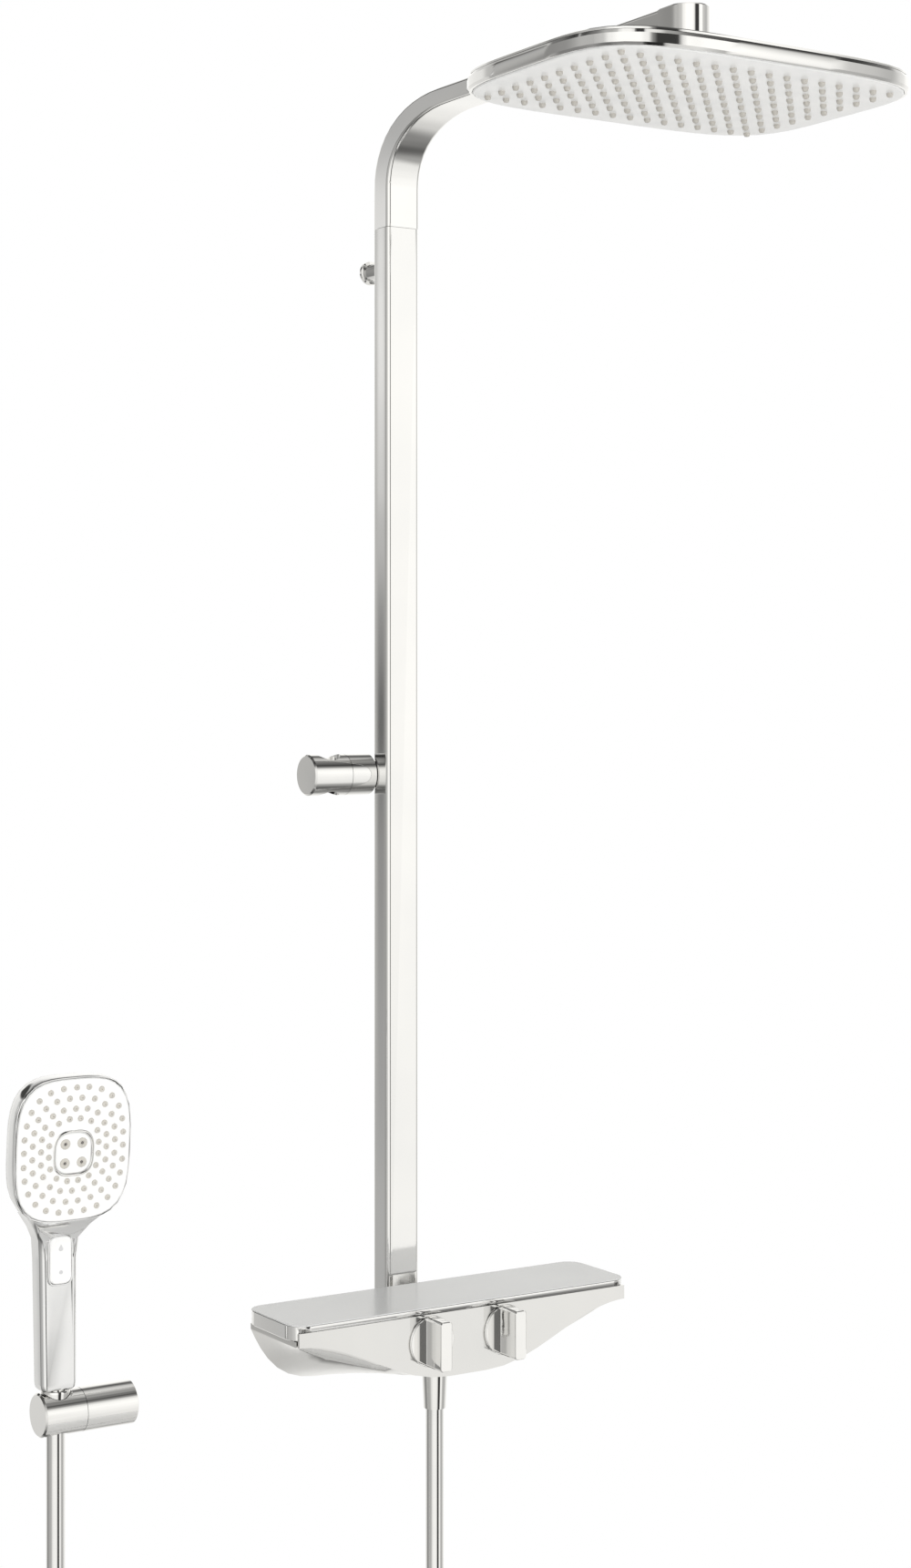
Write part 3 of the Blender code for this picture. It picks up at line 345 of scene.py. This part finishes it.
for holder in (
    "slider_carriage",
    "slider_holder",
    "bracket_fixed_barrel",
    "bracket_holder",
    "bracket_wall_post",
):
    finished(holder, holder + "_polished", chrome)

# ---------------------------------------------------------------- overhead shower
# A thin white spray plate in a chrome rim, under a chrome cover, with rows of soft silicone nozzles.
# The nozzles are one mould's copies, so they are all alike and stand straight down.

white_plate = gloss_finish("spray_white", (0.86, 0.86, 0.855), 0.28, 0.0, 0.10, 40.0, 0.3)
for part in ("head_cover", "head_rim", "head_ball_stem", "ball_nut"):
    finished(part, part + "_polished", chrome)
finished("head_spray_plate", "head_spray_plate_white", white_plate)

NOZZLE_ROWS = (16, 10)
NOZZLE_PITCH = (0.01713, 0.01944)
NOZZLE_SIDES = 12
NOZZLE_SHARP = 60
HEAD_NOZZLE_SINK = 0.0004  # the root's depth inside the plate
SEED_SIZE = 0.0001


def soft_rubber(name, colour, grain):
    """A dull, slightly see-through rubber with a fine grain."""
    made, shader, add, join = node_tree(name)
    place = add("ShaderNodeTexCoord")
    cloud = add("ShaderNodeTexNoise", Scale=grain, Detail=3.0)
    tone = add("ShaderNodeMapRange")
    tone.inputs["To Min"].default_value = 0.5
    tone.inputs["To Max"].default_value = 0.72
    tint = add("ShaderNodeMix", data_type="RGBA", blend_type="MULTIPLY")
    tint.inputs["A"].default_value = (*colour, 1)
    tint.inputs["B"].default_value = (0.9, 0.89, 0.87, 1)
    bump = add("ShaderNodeBump", Strength=0.2, Distance=0.0001)
    join(place.outputs["Object"], cloud.inputs["Vector"])
    join(cloud.outputs["Fac"], tone.inputs["Value"])
    join(cloud.outputs["Fac"], tint.inputs["Factor"])
    join(cloud.outputs["Fac"], bump.inputs["Height"])
    join(tint.outputs["Result"], shader.inputs["Base Color"])
    join(tone.outputs["Result"], shader.inputs["Roughness"])
    join(bump.outputs["Normal"], shader.inputs["Normal"])
    shader.inputs["Subsurface Weight"].default_value = 0.1
    shader.inputs["Subsurface Radius"].default_value = (0.002, 0.002, 0.002)
    return made


nozzle_grey = soft_rubber("nozzle_silicone", (0.60, 0.58, 0.54), 900.0)


def nozzle_mesh(name, r, height, hole):
    """One soft nozzle, a domed nub with a small blind hole, pointing along +Z.

    Its shape has a root radius of 1, and comes with the radius that it is scattered at.
    """
    tall, open_r = height / r, hole / r
    dome = [(1, 0), (0.95, tall * 0.55), (0.72, tall * 0.92)]
    outline = dome + [(open_r, tall), (open_r * 0.8, tall * 0.45)]
    angles = [2 * pi * k / NOZZLE_SIDES for k in range(NOZZLE_SIDES)]
    bm = bmesh.new()
    skin(bm, [[bm.verts.new((out * cos(a), out * sin(a), z)) for a in angles] for out, z in outline])
    mesh = bpy.data.meshes.new(name)
    bm.to_mesh(mesh)
    bm.free()
    mesh.shade_smooth()
    mesh.set_sharp_from_angle(angle=radians(NOZZLE_SHARP))
    return bpy.data.objects.new(name, mesh), r


def scatter_tree(name):
    """Geometry Nodes: copies an object onto a mesh's chosen points, along their normals, in one finish."""
    tree = bpy.data.node_groups.new(name, "GeometryNodeTree")
    for label, kind in (
        ("Places", "Geometry"),
        ("Copied", "Object"),
        ("Root radius", "Float"),
        ("Finish", "Material"),
    ):
        tree.interface.new_socket(label, in_out="INPUT", socket_type="NodeSocket" + kind)
    tree.interface.new_socket("Result", in_out="OUTPUT", socket_type="NodeSocketGeometry")
    start = tree.nodes.new("NodeGroupInput")
    end = tree.nodes.new("NodeGroupOutput")
    info = tree.nodes.new("GeometryNodeObjectInfo")
    chosen = tree.nodes.new("GeometryNodeInputNamedAttribute")
    chosen.data_type = "BOOLEAN"
    chosen.inputs["Name"].default_value = "chosen"
    facing = tree.nodes.new("GeometryNodeInputNormal")
    turn = tree.nodes.new("FunctionNodeAlignRotationToVector")
    turn.axis = "Z"
    place = tree.nodes.new("GeometryNodeInstanceOnPoints")
    real = tree.nodes.new("GeometryNodeRealizeInstances")
    paint = tree.nodes.new("GeometryNodeSetMaterial")
    wire = tree.links.new
    wire(start.outputs["Places"], place.inputs["Points"])
    wire(start.outputs["Copied"], info.inputs["Object"])
    wire(chosen.outputs["Attribute"], place.inputs["Selection"])
    wire(start.outputs["Root radius"], place.inputs["Scale"])
    wire(start.outputs["Finish"], paint.inputs["Material"])
    wire(facing.outputs["Normal"], turn.inputs["Vector"])
    wire(turn.outputs["Rotation"], place.inputs["Rotation"])
    wire(info.outputs["Geometry"], place.inputs["Instance"])
    wire(place.outputs["Instances"], real.inputs["Geometry"])
    wire(real.outputs["Geometry"], paint.inputs["Geometry"])
    wire(paint.outputs["Geometry"], end.inputs["Result"])
    return tree


nozzle_scatter = scatter_tree("nozzle_scatter")


def scatter(name, places, facing, nozzle, finish, body):
    """A plain mesh of nozzles at places, all pointing along facing, that rides on a body."""
    shape, radius = nozzle
    bm = bmesh.new()
    side = facing.orthogonal().normalized() * SEED_SIZE
    other = facing.cross(side).normalized() * SEED_SIZE
    angles = (0, 2 * pi / 3, 4 * pi / 3)
    for place in places:
        # Three tiny faces round each place give its middle point the normal that its copy stands along.
        middle = bm.verts.new(place)
        ring = [bm.verts.new(place + side * cos(a) + other * sin(a)) for a in angles]
        for k in range(3):
            bm.faces.new((middle, ring[k], ring[(k + 1) % 3]))
    mesh = bpy.data.meshes.new(name)
    bm.to_mesh(mesh)
    bm.free()
    # Of the four points at each place, only the middle one carries a copy.
    chosen = mesh.attributes.new("chosen", "BOOLEAN", "POINT")
    chosen.data.foreach_set("value", [k % 4 == 0 for k in range(len(mesh.vertices))])
    holder = bpy.data.objects.new(name, mesh)
    bpy.context.scene.collection.objects.link(holder)
    nodes = holder.modifiers.new("copies", "NODES")
    nodes.node_group = nozzle_scatter
    sockets = nozzle_scatter.interface.items_tree
    ids = {socket.name: socket.identifier for socket in sockets if socket.in_out == "INPUT"}
    nodes[ids["Copied"]] = shape
    nodes[ids["Root radius"]] = radius
    nodes[ids["Finish"]] = finish
    bpy.context.view_layer.update()
    made = bpy.data.meshes.new_from_object(holder.evaluated_get(bpy.context.evaluated_depsgraph_get()))
    holder.modifiers.clear()
    holder.data = made
    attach(holder, body)
    return holder


plate_low, plate_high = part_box("head_spray_plate")
plate_middle = middle_of(plate_low, plate_high)
head_places = []
for i in range(NOZZLE_ROWS[0]):
    for j in range(NOZZLE_ROWS[1]):
        x = plate_middle.x + (i - (NOZZLE_ROWS[0] - 1) / 2) * NOZZLE_PITCH[0]
        y = plate_middle.y + (j - (NOZZLE_ROWS[1] - 1) / 2) * NOZZLE_PITCH[1]
        head_places.append(Vector((x, y, plate_low[2] + HEAD_NOZZLE_SINK)))
head_nozzle = nozzle_mesh("head_nozzle_shape", r=0.0027, height=0.0036, hole=0.0007)
straight_down = Vector((0, 0, -1))
scatter("head_nozzles", head_places, straight_down, head_nozzle, nozzle_grey, "overhead")

# ---------------------------------------------------------------- shelf mixer
# A pale glass shelf in a chrome rim over a chrome casting, with a flat front plate.
# Two paddle knobs stand on the plate: the temperature on one side and the diverter on the other.

GLASS_MARGIN = 0.0004  # how much narrower than the rim the glass is
GLASS_PROUD = 0.0003  # its top over the rim
GLASS_LAP = 0.0002  # its underside below the rim's top

glass_top = gloss_finish("pale_glass", (0.70, 0.705, 0.705), 0.22, 0.0, 0.03, 12.0, 0.12)
shelf_top = finished("shelf_glass", "shelf_glass_pale", glass_top)
# The glass runs out over the rim's lip, so that only the lip's face shows below it.
glass_low, glass_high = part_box("shelf_glass")
rim_low, rim_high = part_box("shelf_rim")
glass_middle, rim_middle = middle_of(glass_low, glass_high), middle_of(rim_low, rim_high)
for v in shelf_top.data.vertices:
    for axis in (0, 1):
        room = rim_high[axis] - rim_low[axis] - GLASS_MARGIN
        wider = room / (glass_high[axis] - glass_low[axis])
        v.co[axis] = rim_middle[axis] + (v.co[axis] - glass_middle[axis]) * wider
    if v.co.z > glass_middle[2]:
        v.co.z = max(v.co.z, v.co.z + rim_high[2] + GLASS_PROUD - glass_high[2])
    else:
        v.co.z = max(v.co.z, rim_high[2] - GLASS_LAP)
# The mixer's shell and front plate take a chrome painted darker than the other chrome: painted shade.
chrome_with_painted_shade = gloss_finish("chrome_with_painted_shade", (0.76, 0.755, 0.742), 0.05, 1.0, 0.04, 12.0)
# The shelf rim takes a chrome painted lighter than the other chrome: a painted highlight on its lip.
chrome_with_painted_highlight = gloss_finish("chrome_with_painted_highlight", (0.97, 0.965, 0.955), 0.08, 1.0, 0.02, 12.0)
for part, part_finish in (
    ("shelf_rim", chrome_with_painted_highlight),
    ("mixer_front_plate", chrome_with_painted_shade),
    ("mixer_shell", chrome_with_painted_shade),
    ("column_foot", chrome),
):
    finished(part, part + "_polished", part_finish, angle=40)
for side in ("left", "right"):
    for part in (f"union_nut_{side}", f"wall_rosette_{side}", f"inlet_pipe_{side}"):
        finished(part, part + "_polished", chrome)
for part in ("diverter_knob", "thermostat_knob", "hose_nut_lower"):
    finished(part, part + "_polished", chrome)

# ---------------------------------------------------------------- hand shower
# A chrome-plated plastic shell with a white spray face and a rocker button in its handle.
# Four rings of soft nozzles stand round a centre insert, whose four larger ones have open holes.

plated = gloss_finish("plated_plastic", (0.86, 0.86, 0.86), 0.06, 1.0, 0.05, 25.0)
finished("handset_shell", "handset_shell_plated", plated, angle=58)
for part in ("handset_face", "handset_insert", "select_button"):
    finished(part, part + "_white", white_plate)
finished("hose_nut_upper", "hose_nut_upper_polished", chrome)

FACE_LEAN = radians(5)
FACE_POWER = 2.8  # 2 is an ellipse, and more is squarer
FACE_STEPS = 360
# (nozzles, share of the face's size, turn in steps)
NOZZLE_RINGS = ((16, 0.44, 0.5), (20, 0.58, 0.0), (24, 0.73, 0.5), (28, 0.88, 0.0))
HAND_NOZZLE_SINK = 0.0003
CENTRE_NOZZLE_AT = (0.0077, 0.0082)  # from the insert's middle, across and up

face_low, face_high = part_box("handset_face")
insert_low, insert_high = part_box("handset_insert")
lean = Matrix.Rotation(FACE_LEAN, 3, "X")
face_normal = lean @ Vector((0, -1, 0))
face_up = lean @ Vector((0, 0, 1))


def leaning_front(low, high):
    """The middle of a leaning plate's front, from the plate's box."""
    size = high - low
    return middle_of(low, high) + face_normal * (size[1] / 2 - sin(FACE_LEAN) * size[2] / 2)


face_front = leaning_front(face_low, face_high)
face_half = (face_high - face_low) / 2
insert_front = leaning_front(insert_low, insert_high)
insert_half = (insert_high - insert_low) / 2


def squircle_point(angle, half_width, half_height, power):
    """A point of a rounded square in the X and Z plane."""
    reach = (abs(cos(angle)) ** power + abs(sin(angle)) ** power) ** (-1 / power)
    return Vector((half_width * reach * cos(angle), 0, half_height * reach * sin(angle)))


def ring_places(count, share, shift):
    """Evenly spaced places on a squircle in the leaning face, at a share of the face's size."""
    half_width, half_height = face_half[0] * share, face_half[2] * share
    turns = [2 * pi * k / FACE_STEPS for k in range(FACE_STEPS + 1)]
    steps = [squircle_point(a, half_width, half_height, FACE_POWER) for a in turns]
    total, marks = 0.0, [0.0]
    for a, b in zip(steps, steps[1:]):
        total += (b - a).length
        marks.append(total)
    places = []
    for k in range(count):
        want = total * ((k + shift) / count % 1)
        i = max(j for j, mark in enumerate(marks) if mark <= want)
        flat = steps[min(i, FACE_STEPS - 1)]
        places.append(face_front + Vector((flat.x, 0, 0)) + face_up * flat.z)
    return places


def hand_scatter(name, places, nozzle, finish):
    """Nozzles on the leaning face, with their roots sunk into it."""
    sunk = [place - face_normal * HAND_NOZZLE_SINK for place in places]
    scatter(name, sunk, face_normal, nozzle, finish, "hand_shower")


face_places = []
for count, share, shift in NOZZLE_RINGS:
    face_places += ring_places(count, share, shift)
hand_nozzle = nozzle_mesh("hand_nozzle_shape", r=0.0027, height=0.0016, hole=0.0006)
hand_scatter("handset_nozzles", face_places, hand_nozzle, nozzle_grey)

BAND_SIDES = 72
# Each band's section, from its inner foot round to its outer one: (out from the edge, height).
RING_SECTION = (
    (0, -0.0010),
    (0, 0.0006),
    (0.0004, 0.0010),
    (0.0014, 0.0010),
    (0.0020, 0.0004),
    (0.0020, -0.0010),
)
FRAME_SECTION = (
    (0, -0.0035),
    (0, -0.0012),
    (0.0003, -0.0008),
    (0.0011, -0.0008),
    (0.0015, -0.0014),
    (0.0015, -0.0035),
)
BAND_GAP = 0.0002  # between a plate's edge and the band round it


def band_round(name, half, section, middle, up, out, finish, power):
    """A chrome band on the hand shower, in a section that runs round a squircle of this half size."""
    bm = bmesh.new()
    turns = [2 * pi * k / BAND_SIDES for k in range(BAND_SIDES)]
    rings = []
    for step, rise in section:
        wide, high = half[0] + BAND_GAP + step, half[2] + BAND_GAP + step
        points = [squircle_point(a, wide, high, power) for a in turns]
        rings.append([bm.verts.new(middle + Vector((p.x, 0, 0)) + up * p.z + out * rise) for p in points])
    skin(bm, rings, band=True)
    mesh_piece(name, bm, finish, "hand_shower", (), 45)


band_round("insert_ring", insert_half, RING_SECTION, insert_front, face_up, face_normal, chrome, 3.0)

# The four centre nozzles' open holes get near-black plugs: painted shade inside the holes.
hole_painted_shade = gloss_finish("spray_hole_painted_shade", (0.11, 0.105, 0.10), 0.4, 0.0, 0.1, 200.0)
centre_places = []
for side in (-1, 1):
    for rise in (-1, 1):
        from_middle = Vector((side * CENTRE_NOZZLE_AT[0], 0, 0)) + face_up * (rise * CENTRE_NOZZLE_AT[1])
        centre_places.append(insert_front + from_middle)
big_nozzle = nozzle_mesh("centre_nozzle_shape", r=0.0047, height=0.0013, hole=0.0022)
hand_scatter("centre_nozzles", centre_places, big_nozzle, nozzle_grey)
hole_shade_plug = nozzle_mesh("centre_hole_shape", r=0.0013, height=0.0011, hole=0.0005)
hand_scatter("centre_spray_holes", centre_places, hole_shade_plug, hole_painted_shade)

# The rocker stands in a thin plated frame, and has a drop mark above and a dot mark below.
MARK_SINK = 0.0002
MARK_RISE = 0.00015
MARK_TAPER = 0.9
DROP_AT, DROP_R, DROP_TIP = 0.0095, 0.0022, 0.0042
DOT_AT, DOT_R = -0.0105, 0.0018

button_low, button_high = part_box("select_button")
button_middle = middle_of(button_low, button_high)
button_middle.y = button_low[1]
button_half = (button_high - button_low) / 2
up, out = Vector((0, 0, 1)), Vector((0, -1, 0))
band_round("rocker_frame", button_half, FRAME_SECTION, button_middle, up, out, plated, 5.2)
mark_grey = gloss_finish("mark_grey", (0.60, 0.60, 0.61), 0.4, 0.0, 0.1, 200.0)


def mark(name, outline, lift):
    """A thin raised mark on the rocker, from an outline in its face."""
    bm = bmesh.new()
    middle = button_middle + Vector((0, 0, lift))
    low = [bm.verts.new(middle + Vector((x, MARK_SINK, z))) for x, z in outline]
    narrow = [(x * MARK_TAPER, z * MARK_TAPER) for x, z in outline]
    high = [bm.verts.new(middle + Vector((x, -MARK_RISE, z))) for x, z in narrow]
    skin(bm, [low, high])
    mesh_piece(name, bm, mark_grey, "select_button")


half_turn = [pi + pi * k / 12 for k in range(13)]
drop = [(DROP_R * cos(a), DROP_R * sin(a)) for a in half_turn] + [(0.0, DROP_TIP)]
mark("rocker_drop_mark", drop, DROP_AT)
whole_turn = [2 * pi * k / 20 for k in range(20)]
mark("rocker_dot_mark", [(DOT_R * cos(a), DOT_R * sin(a)) for a in whole_turn], DOT_AT)

# ---------------------------------------------------------------- pieces inside
# A nickel-plated valve block, brass fittings, steel keys and screws, plastic plates and rubber seals.
# They keep their CAD shapes, as they are seen only when the shower is taken apart.

brass = gloss_finish("cast_brass", (0.70, 0.53, 0.28), 0.28, 1.0, 0.18, 60.0)
steel = gloss_finish("screw_steel", (0.60, 0.60, 0.61), 0.24, 1.0, 0.15, 80.0)
dark = gloss_finish("moulded_dark", (0.06, 0.06, 0.062), 0.45, 0.0, 0.15, 60.0)
rubber = soft_rubber("washer_rubber", (0.03, 0.03, 0.03), 600.0)
nickel = gloss_finish("nickel_plate", (0.62, 0.61, 0.58), 0.22, 1.0, 0.12, 60.0)
inside = {
    "brass": brass,
    "steel": steel,
    "dark_plastic": dark,
    "rubber": rubber,
    "silicone": nozzle_grey,
    "chrome": chrome,
}
for node, made in frame["nodes"].items():
    if slot_of_node[node] in inside:
        made.data.materials.clear()
        made.data.materials.append(nickel if node == "valve_block" else inside[slot_of_node[node]])

# ---------------------------------------------------------------- studio
# White surroundings with a few dark bands, as black cards in a tent give polished chrome.
# Three soft boxes add light without showing in the chrome, and the ground is a small pale disc.

# Shares of the half turn from straight down (0) to straight up (1), each with its grey.
RISE_STOPS = [
    (0.0, 0.78), (0.08, 0.74), (0.13, 0.35), (0.183, 0.24), (0.25, 0.62), (0.33, 0.80),
    (0.433, 0.88), (0.50, 0.95), (0.565, 1.0), (0.63, 0.95), (0.67, 0.7), (0.715, 0.22),
    (0.755, 0.08), (0.79, 0.22), (0.84, 0.6), (0.90, 0.9),
]
# Shares of the full turn: 0.25 is straight out from the wall, 0.75 straight behind it.
TURN_STOPS = [
    (0.0, 0.48), (0.04, 0.54), (0.075, 0.86), (0.12, 1.0), (0.20, 1.0), (0.232, 0.85),
    (0.246, 0.2), (0.258, 0.04), (0.300, 0.04), (0.309, 0.75), (0.317, 0.98), (0.326, 0.95),
    (0.338, 1.0), (0.354, 1.0), (0.378, 0.55), (0.44, 0.45), (0.50, 0.75), (0.55, 0.95),
    (0.66, 0.97), (0.75, 0.8), (0.812, 0.74), (0.829, 0.46), (0.845, 0.40), (0.855, 0.24),
    (0.88, 0.26), (0.95, 0.44),
]
# Behind the left end hangs a graded card, dark at the middle: the riser's flank mirrors it.
CARD_TURN = 0.8370
CARD_HALF = (0.0042, 0.0026)  # its soft edge, from outside in
CARD_STOPS = [
    (0.40, 0.5), (0.435, 0.40), (0.456, 0.32), (0.478, 0.26), (0.4967, 0.11), (0.5056, 0.23),
    (0.5167, 0.43), (0.527, 0.62), (0.545, 0.78), (0.556, 0.68), (0.566, 0.40), (0.66, 0.36),
]
# A black flag up behind the left end darkens the shoulders that face up and left.
FLAG_TURN, FLAG_TURN_TIGHT = 0.785, 22.0
FLAG_RISE, FLAG_RISE_TIGHT = 0.63, 24.0
FLOOR_DROP = 0.05
FLOOR_R = 0.48

world = bpy.data.worlds.new("studio_tent")
bpy.context.scene.world = world
world.use_nodes = True
world.node_tree.nodes.clear()
w_add, w_join = node_adder(world.node_tree.nodes), world.node_tree.links.new


def w_ramp(value, stops):
    """Greys along a value, a little warm."""
    ramp = w_add("ShaderNodeValToRGB")
    ramp.color_ramp.interpolation = "EASE"
    while len(ramp.color_ramp.elements) < len(stops):
        ramp.color_ramp.elements.new(0.5)
    for element, (at, grey) in zip(ramp.color_ramp.elements, stops):
        element.position = at
        element.color = (grey, grey * 0.996, grey * 0.983, 1)
    w_join(value, ramp.inputs["Fac"])
    return ramp.outputs["Color"]


def w_math(operation, first, second, third=0.5):
    """A Math node; each value is a number or another node's output."""
    node = w_add("ShaderNodeMath", operation=operation)
    for socket, value in zip(node.inputs, (first, second, third)):
        if isinstance(value, (int, float)):
            socket.default_value = value
        else:
            w_join(value, socket)
    return node.outputs["Value"]


w_place = w_add("ShaderNodeTexCoord")
w_split = w_add("ShaderNodeSeparateXYZ")
w_join(w_place.outputs["Generated"], w_split.inputs["Vector"])
w_rise = w_math("ARCSINE", w_split.outputs["Z"], 0)
w_rise = w_math("MULTIPLY_ADD", w_rise, 1 / pi)
w_turn = w_math("ARCTAN2", w_split.outputs["Y"], w_split.outputs["X"])
w_turn = w_math("MULTIPLY_ADD", w_turn, 1 / (2 * pi))
w_by_rise = w_ramp(w_rise, RISE_STOPS)
w_by_turn = w_ramp(w_turn, TURN_STOPS)
w_both = w_add("ShaderNodeMix", data_type="RGBA", blend_type="MULTIPLY")
w_both.inputs["Factor"].default_value = 1
w_join(w_by_rise, w_both.inputs["A"])
w_join(w_by_turn, w_both.inputs["B"])
w_card = w_ramp(w_rise, CARD_STOPS)
w_beside = w_math("ABSOLUTE", w_math("SUBTRACT", w_turn, CARD_TURN), 0)
w_window = w_add("ShaderNodeMapRange", interpolation_type="SMOOTHSTEP")
w_window.inputs["From Min"].default_value = CARD_HALF[0]
w_window.inputs["From Max"].default_value = CARD_HALF[1]
w_join(w_beside, w_window.inputs["Value"])
w_all = w_add("ShaderNodeMix", data_type="RGBA")
w_join(w_window.outputs["Result"], w_all.inputs["Factor"])
w_join(w_both.outputs["Result"], w_all.inputs["A"])
w_join(w_card, w_all.inputs["B"])
w_glow = w_add("ShaderNodeBackground", Strength=1.2)
w_far = w_math("MULTIPLY", w_math("SUBTRACT", w_turn, FLAG_TURN), FLAG_TURN_TIGHT)
w_far = w_math("POWER", w_far, 2.0)
w_high = w_math("MULTIPLY", w_math("SUBTRACT", w_rise, FLAG_RISE), FLAG_RISE_TIGHT)
w_high = w_math("POWER", w_high, 2.0)
w_flag = w_add("ShaderNodeMapRange", interpolation_type="SMOOTHSTEP")
w_flag.inputs["From Min"].default_value = 0.5
w_flag.inputs["From Max"].default_value = 1.6
w_flag.inputs["To Min"].default_value = 0.07
w_join(w_math("ADD", w_far, w_high), w_flag.inputs["Value"])
w_lit = w_add("ShaderNodeMix", data_type="RGBA", blend_type="MULTIPLY")
w_lit.inputs["Factor"].default_value = 1
w_join(w_all.outputs["Result"], w_lit.inputs["A"])
w_join(w_flag.outputs["Result"], w_lit.inputs["B"])
w_join(w_lit.outputs["Result"], w_glow.inputs["Color"])
w_white = w_add("ShaderNodeBackground", Strength=1.0)
w_white.inputs["Color"].default_value = (1, 1, 1, 1)
w_seen = w_add("ShaderNodeLightPath")
w_pick = w_add("ShaderNodeMixShader")
w_out = w_add("ShaderNodeOutputWorld")
w_join(w_seen.outputs["Is Camera Ray"], w_pick.inputs["Fac"])
w_join(w_glow.outputs["Background"], w_pick.inputs[1])
w_join(w_white.outputs["Background"], w_pick.inputs[2])
w_join(w_pick.outputs["Shader"], w_out.inputs["Surface"])

floor_bm = bmesh.new()
bmesh.ops.create_circle(floor_bm, cap_ends=True, radius=FLOOR_R, segments=96)
floor_mesh = bpy.data.meshes.new("studio_floor")
floor_bm.to_mesh(floor_mesh)
floor_bm.free()
floor = bpy.data.objects.new("studio_floor", floor_mesh)
floor.location = (-0.12, -0.24, cad_box[0][2] - FLOOR_DROP)
pale, pale_shader, pale_add, pale_join = node_tree("pale_floor")
pale_cloud = pale_add("ShaderNodeTexNoise", Scale=6.0)
pale_tone = pale_add("ShaderNodeMapRange")
pale_tone.inputs["To Min"].default_value = 0.55
pale_tone.inputs["To Max"].default_value = 0.7
pale_join(pale_cloud.outputs["Fac"], pale_tone.inputs["Value"])
pale_join(pale_tone.outputs["Result"], pale_shader.inputs["Roughness"])
pale_shader.inputs["Base Color"].default_value = (0.95, 0.95, 0.945, 1)
floor_mesh.materials.append(pale)
bpy.context.scene.collection.objects.link(floor)

for name, place, size, power, target in (
    ("key_softbox", (-1.6, -2.2, 1.4), 1.6, 22, (0, -0.2, -0.4)),
    ("fill_softbox", (1.9, -1.8, 0.3), 1.8, 14, (0, -0.2, -0.5)),
    ("low_softbox", (-0.4, -1.7, -1.1), 0.9, 14, (0, -0.4, 0.0)),
):
    light_data = bpy.data.lights.new(name, "AREA")
    light_data.size = size
    light_data.energy = power
    light = bpy.data.objects.new(name, light_data)
    light.visible_glossy = False
    light.location = place
    light.rotation_euler = (Vector(target) - Vector(place)).to_track_quat("-Z", "Y").to_euler()
    bpy.context.scene.collection.objects.link(light)

bpy.context.scene.view_settings.view_transform = "Standard"
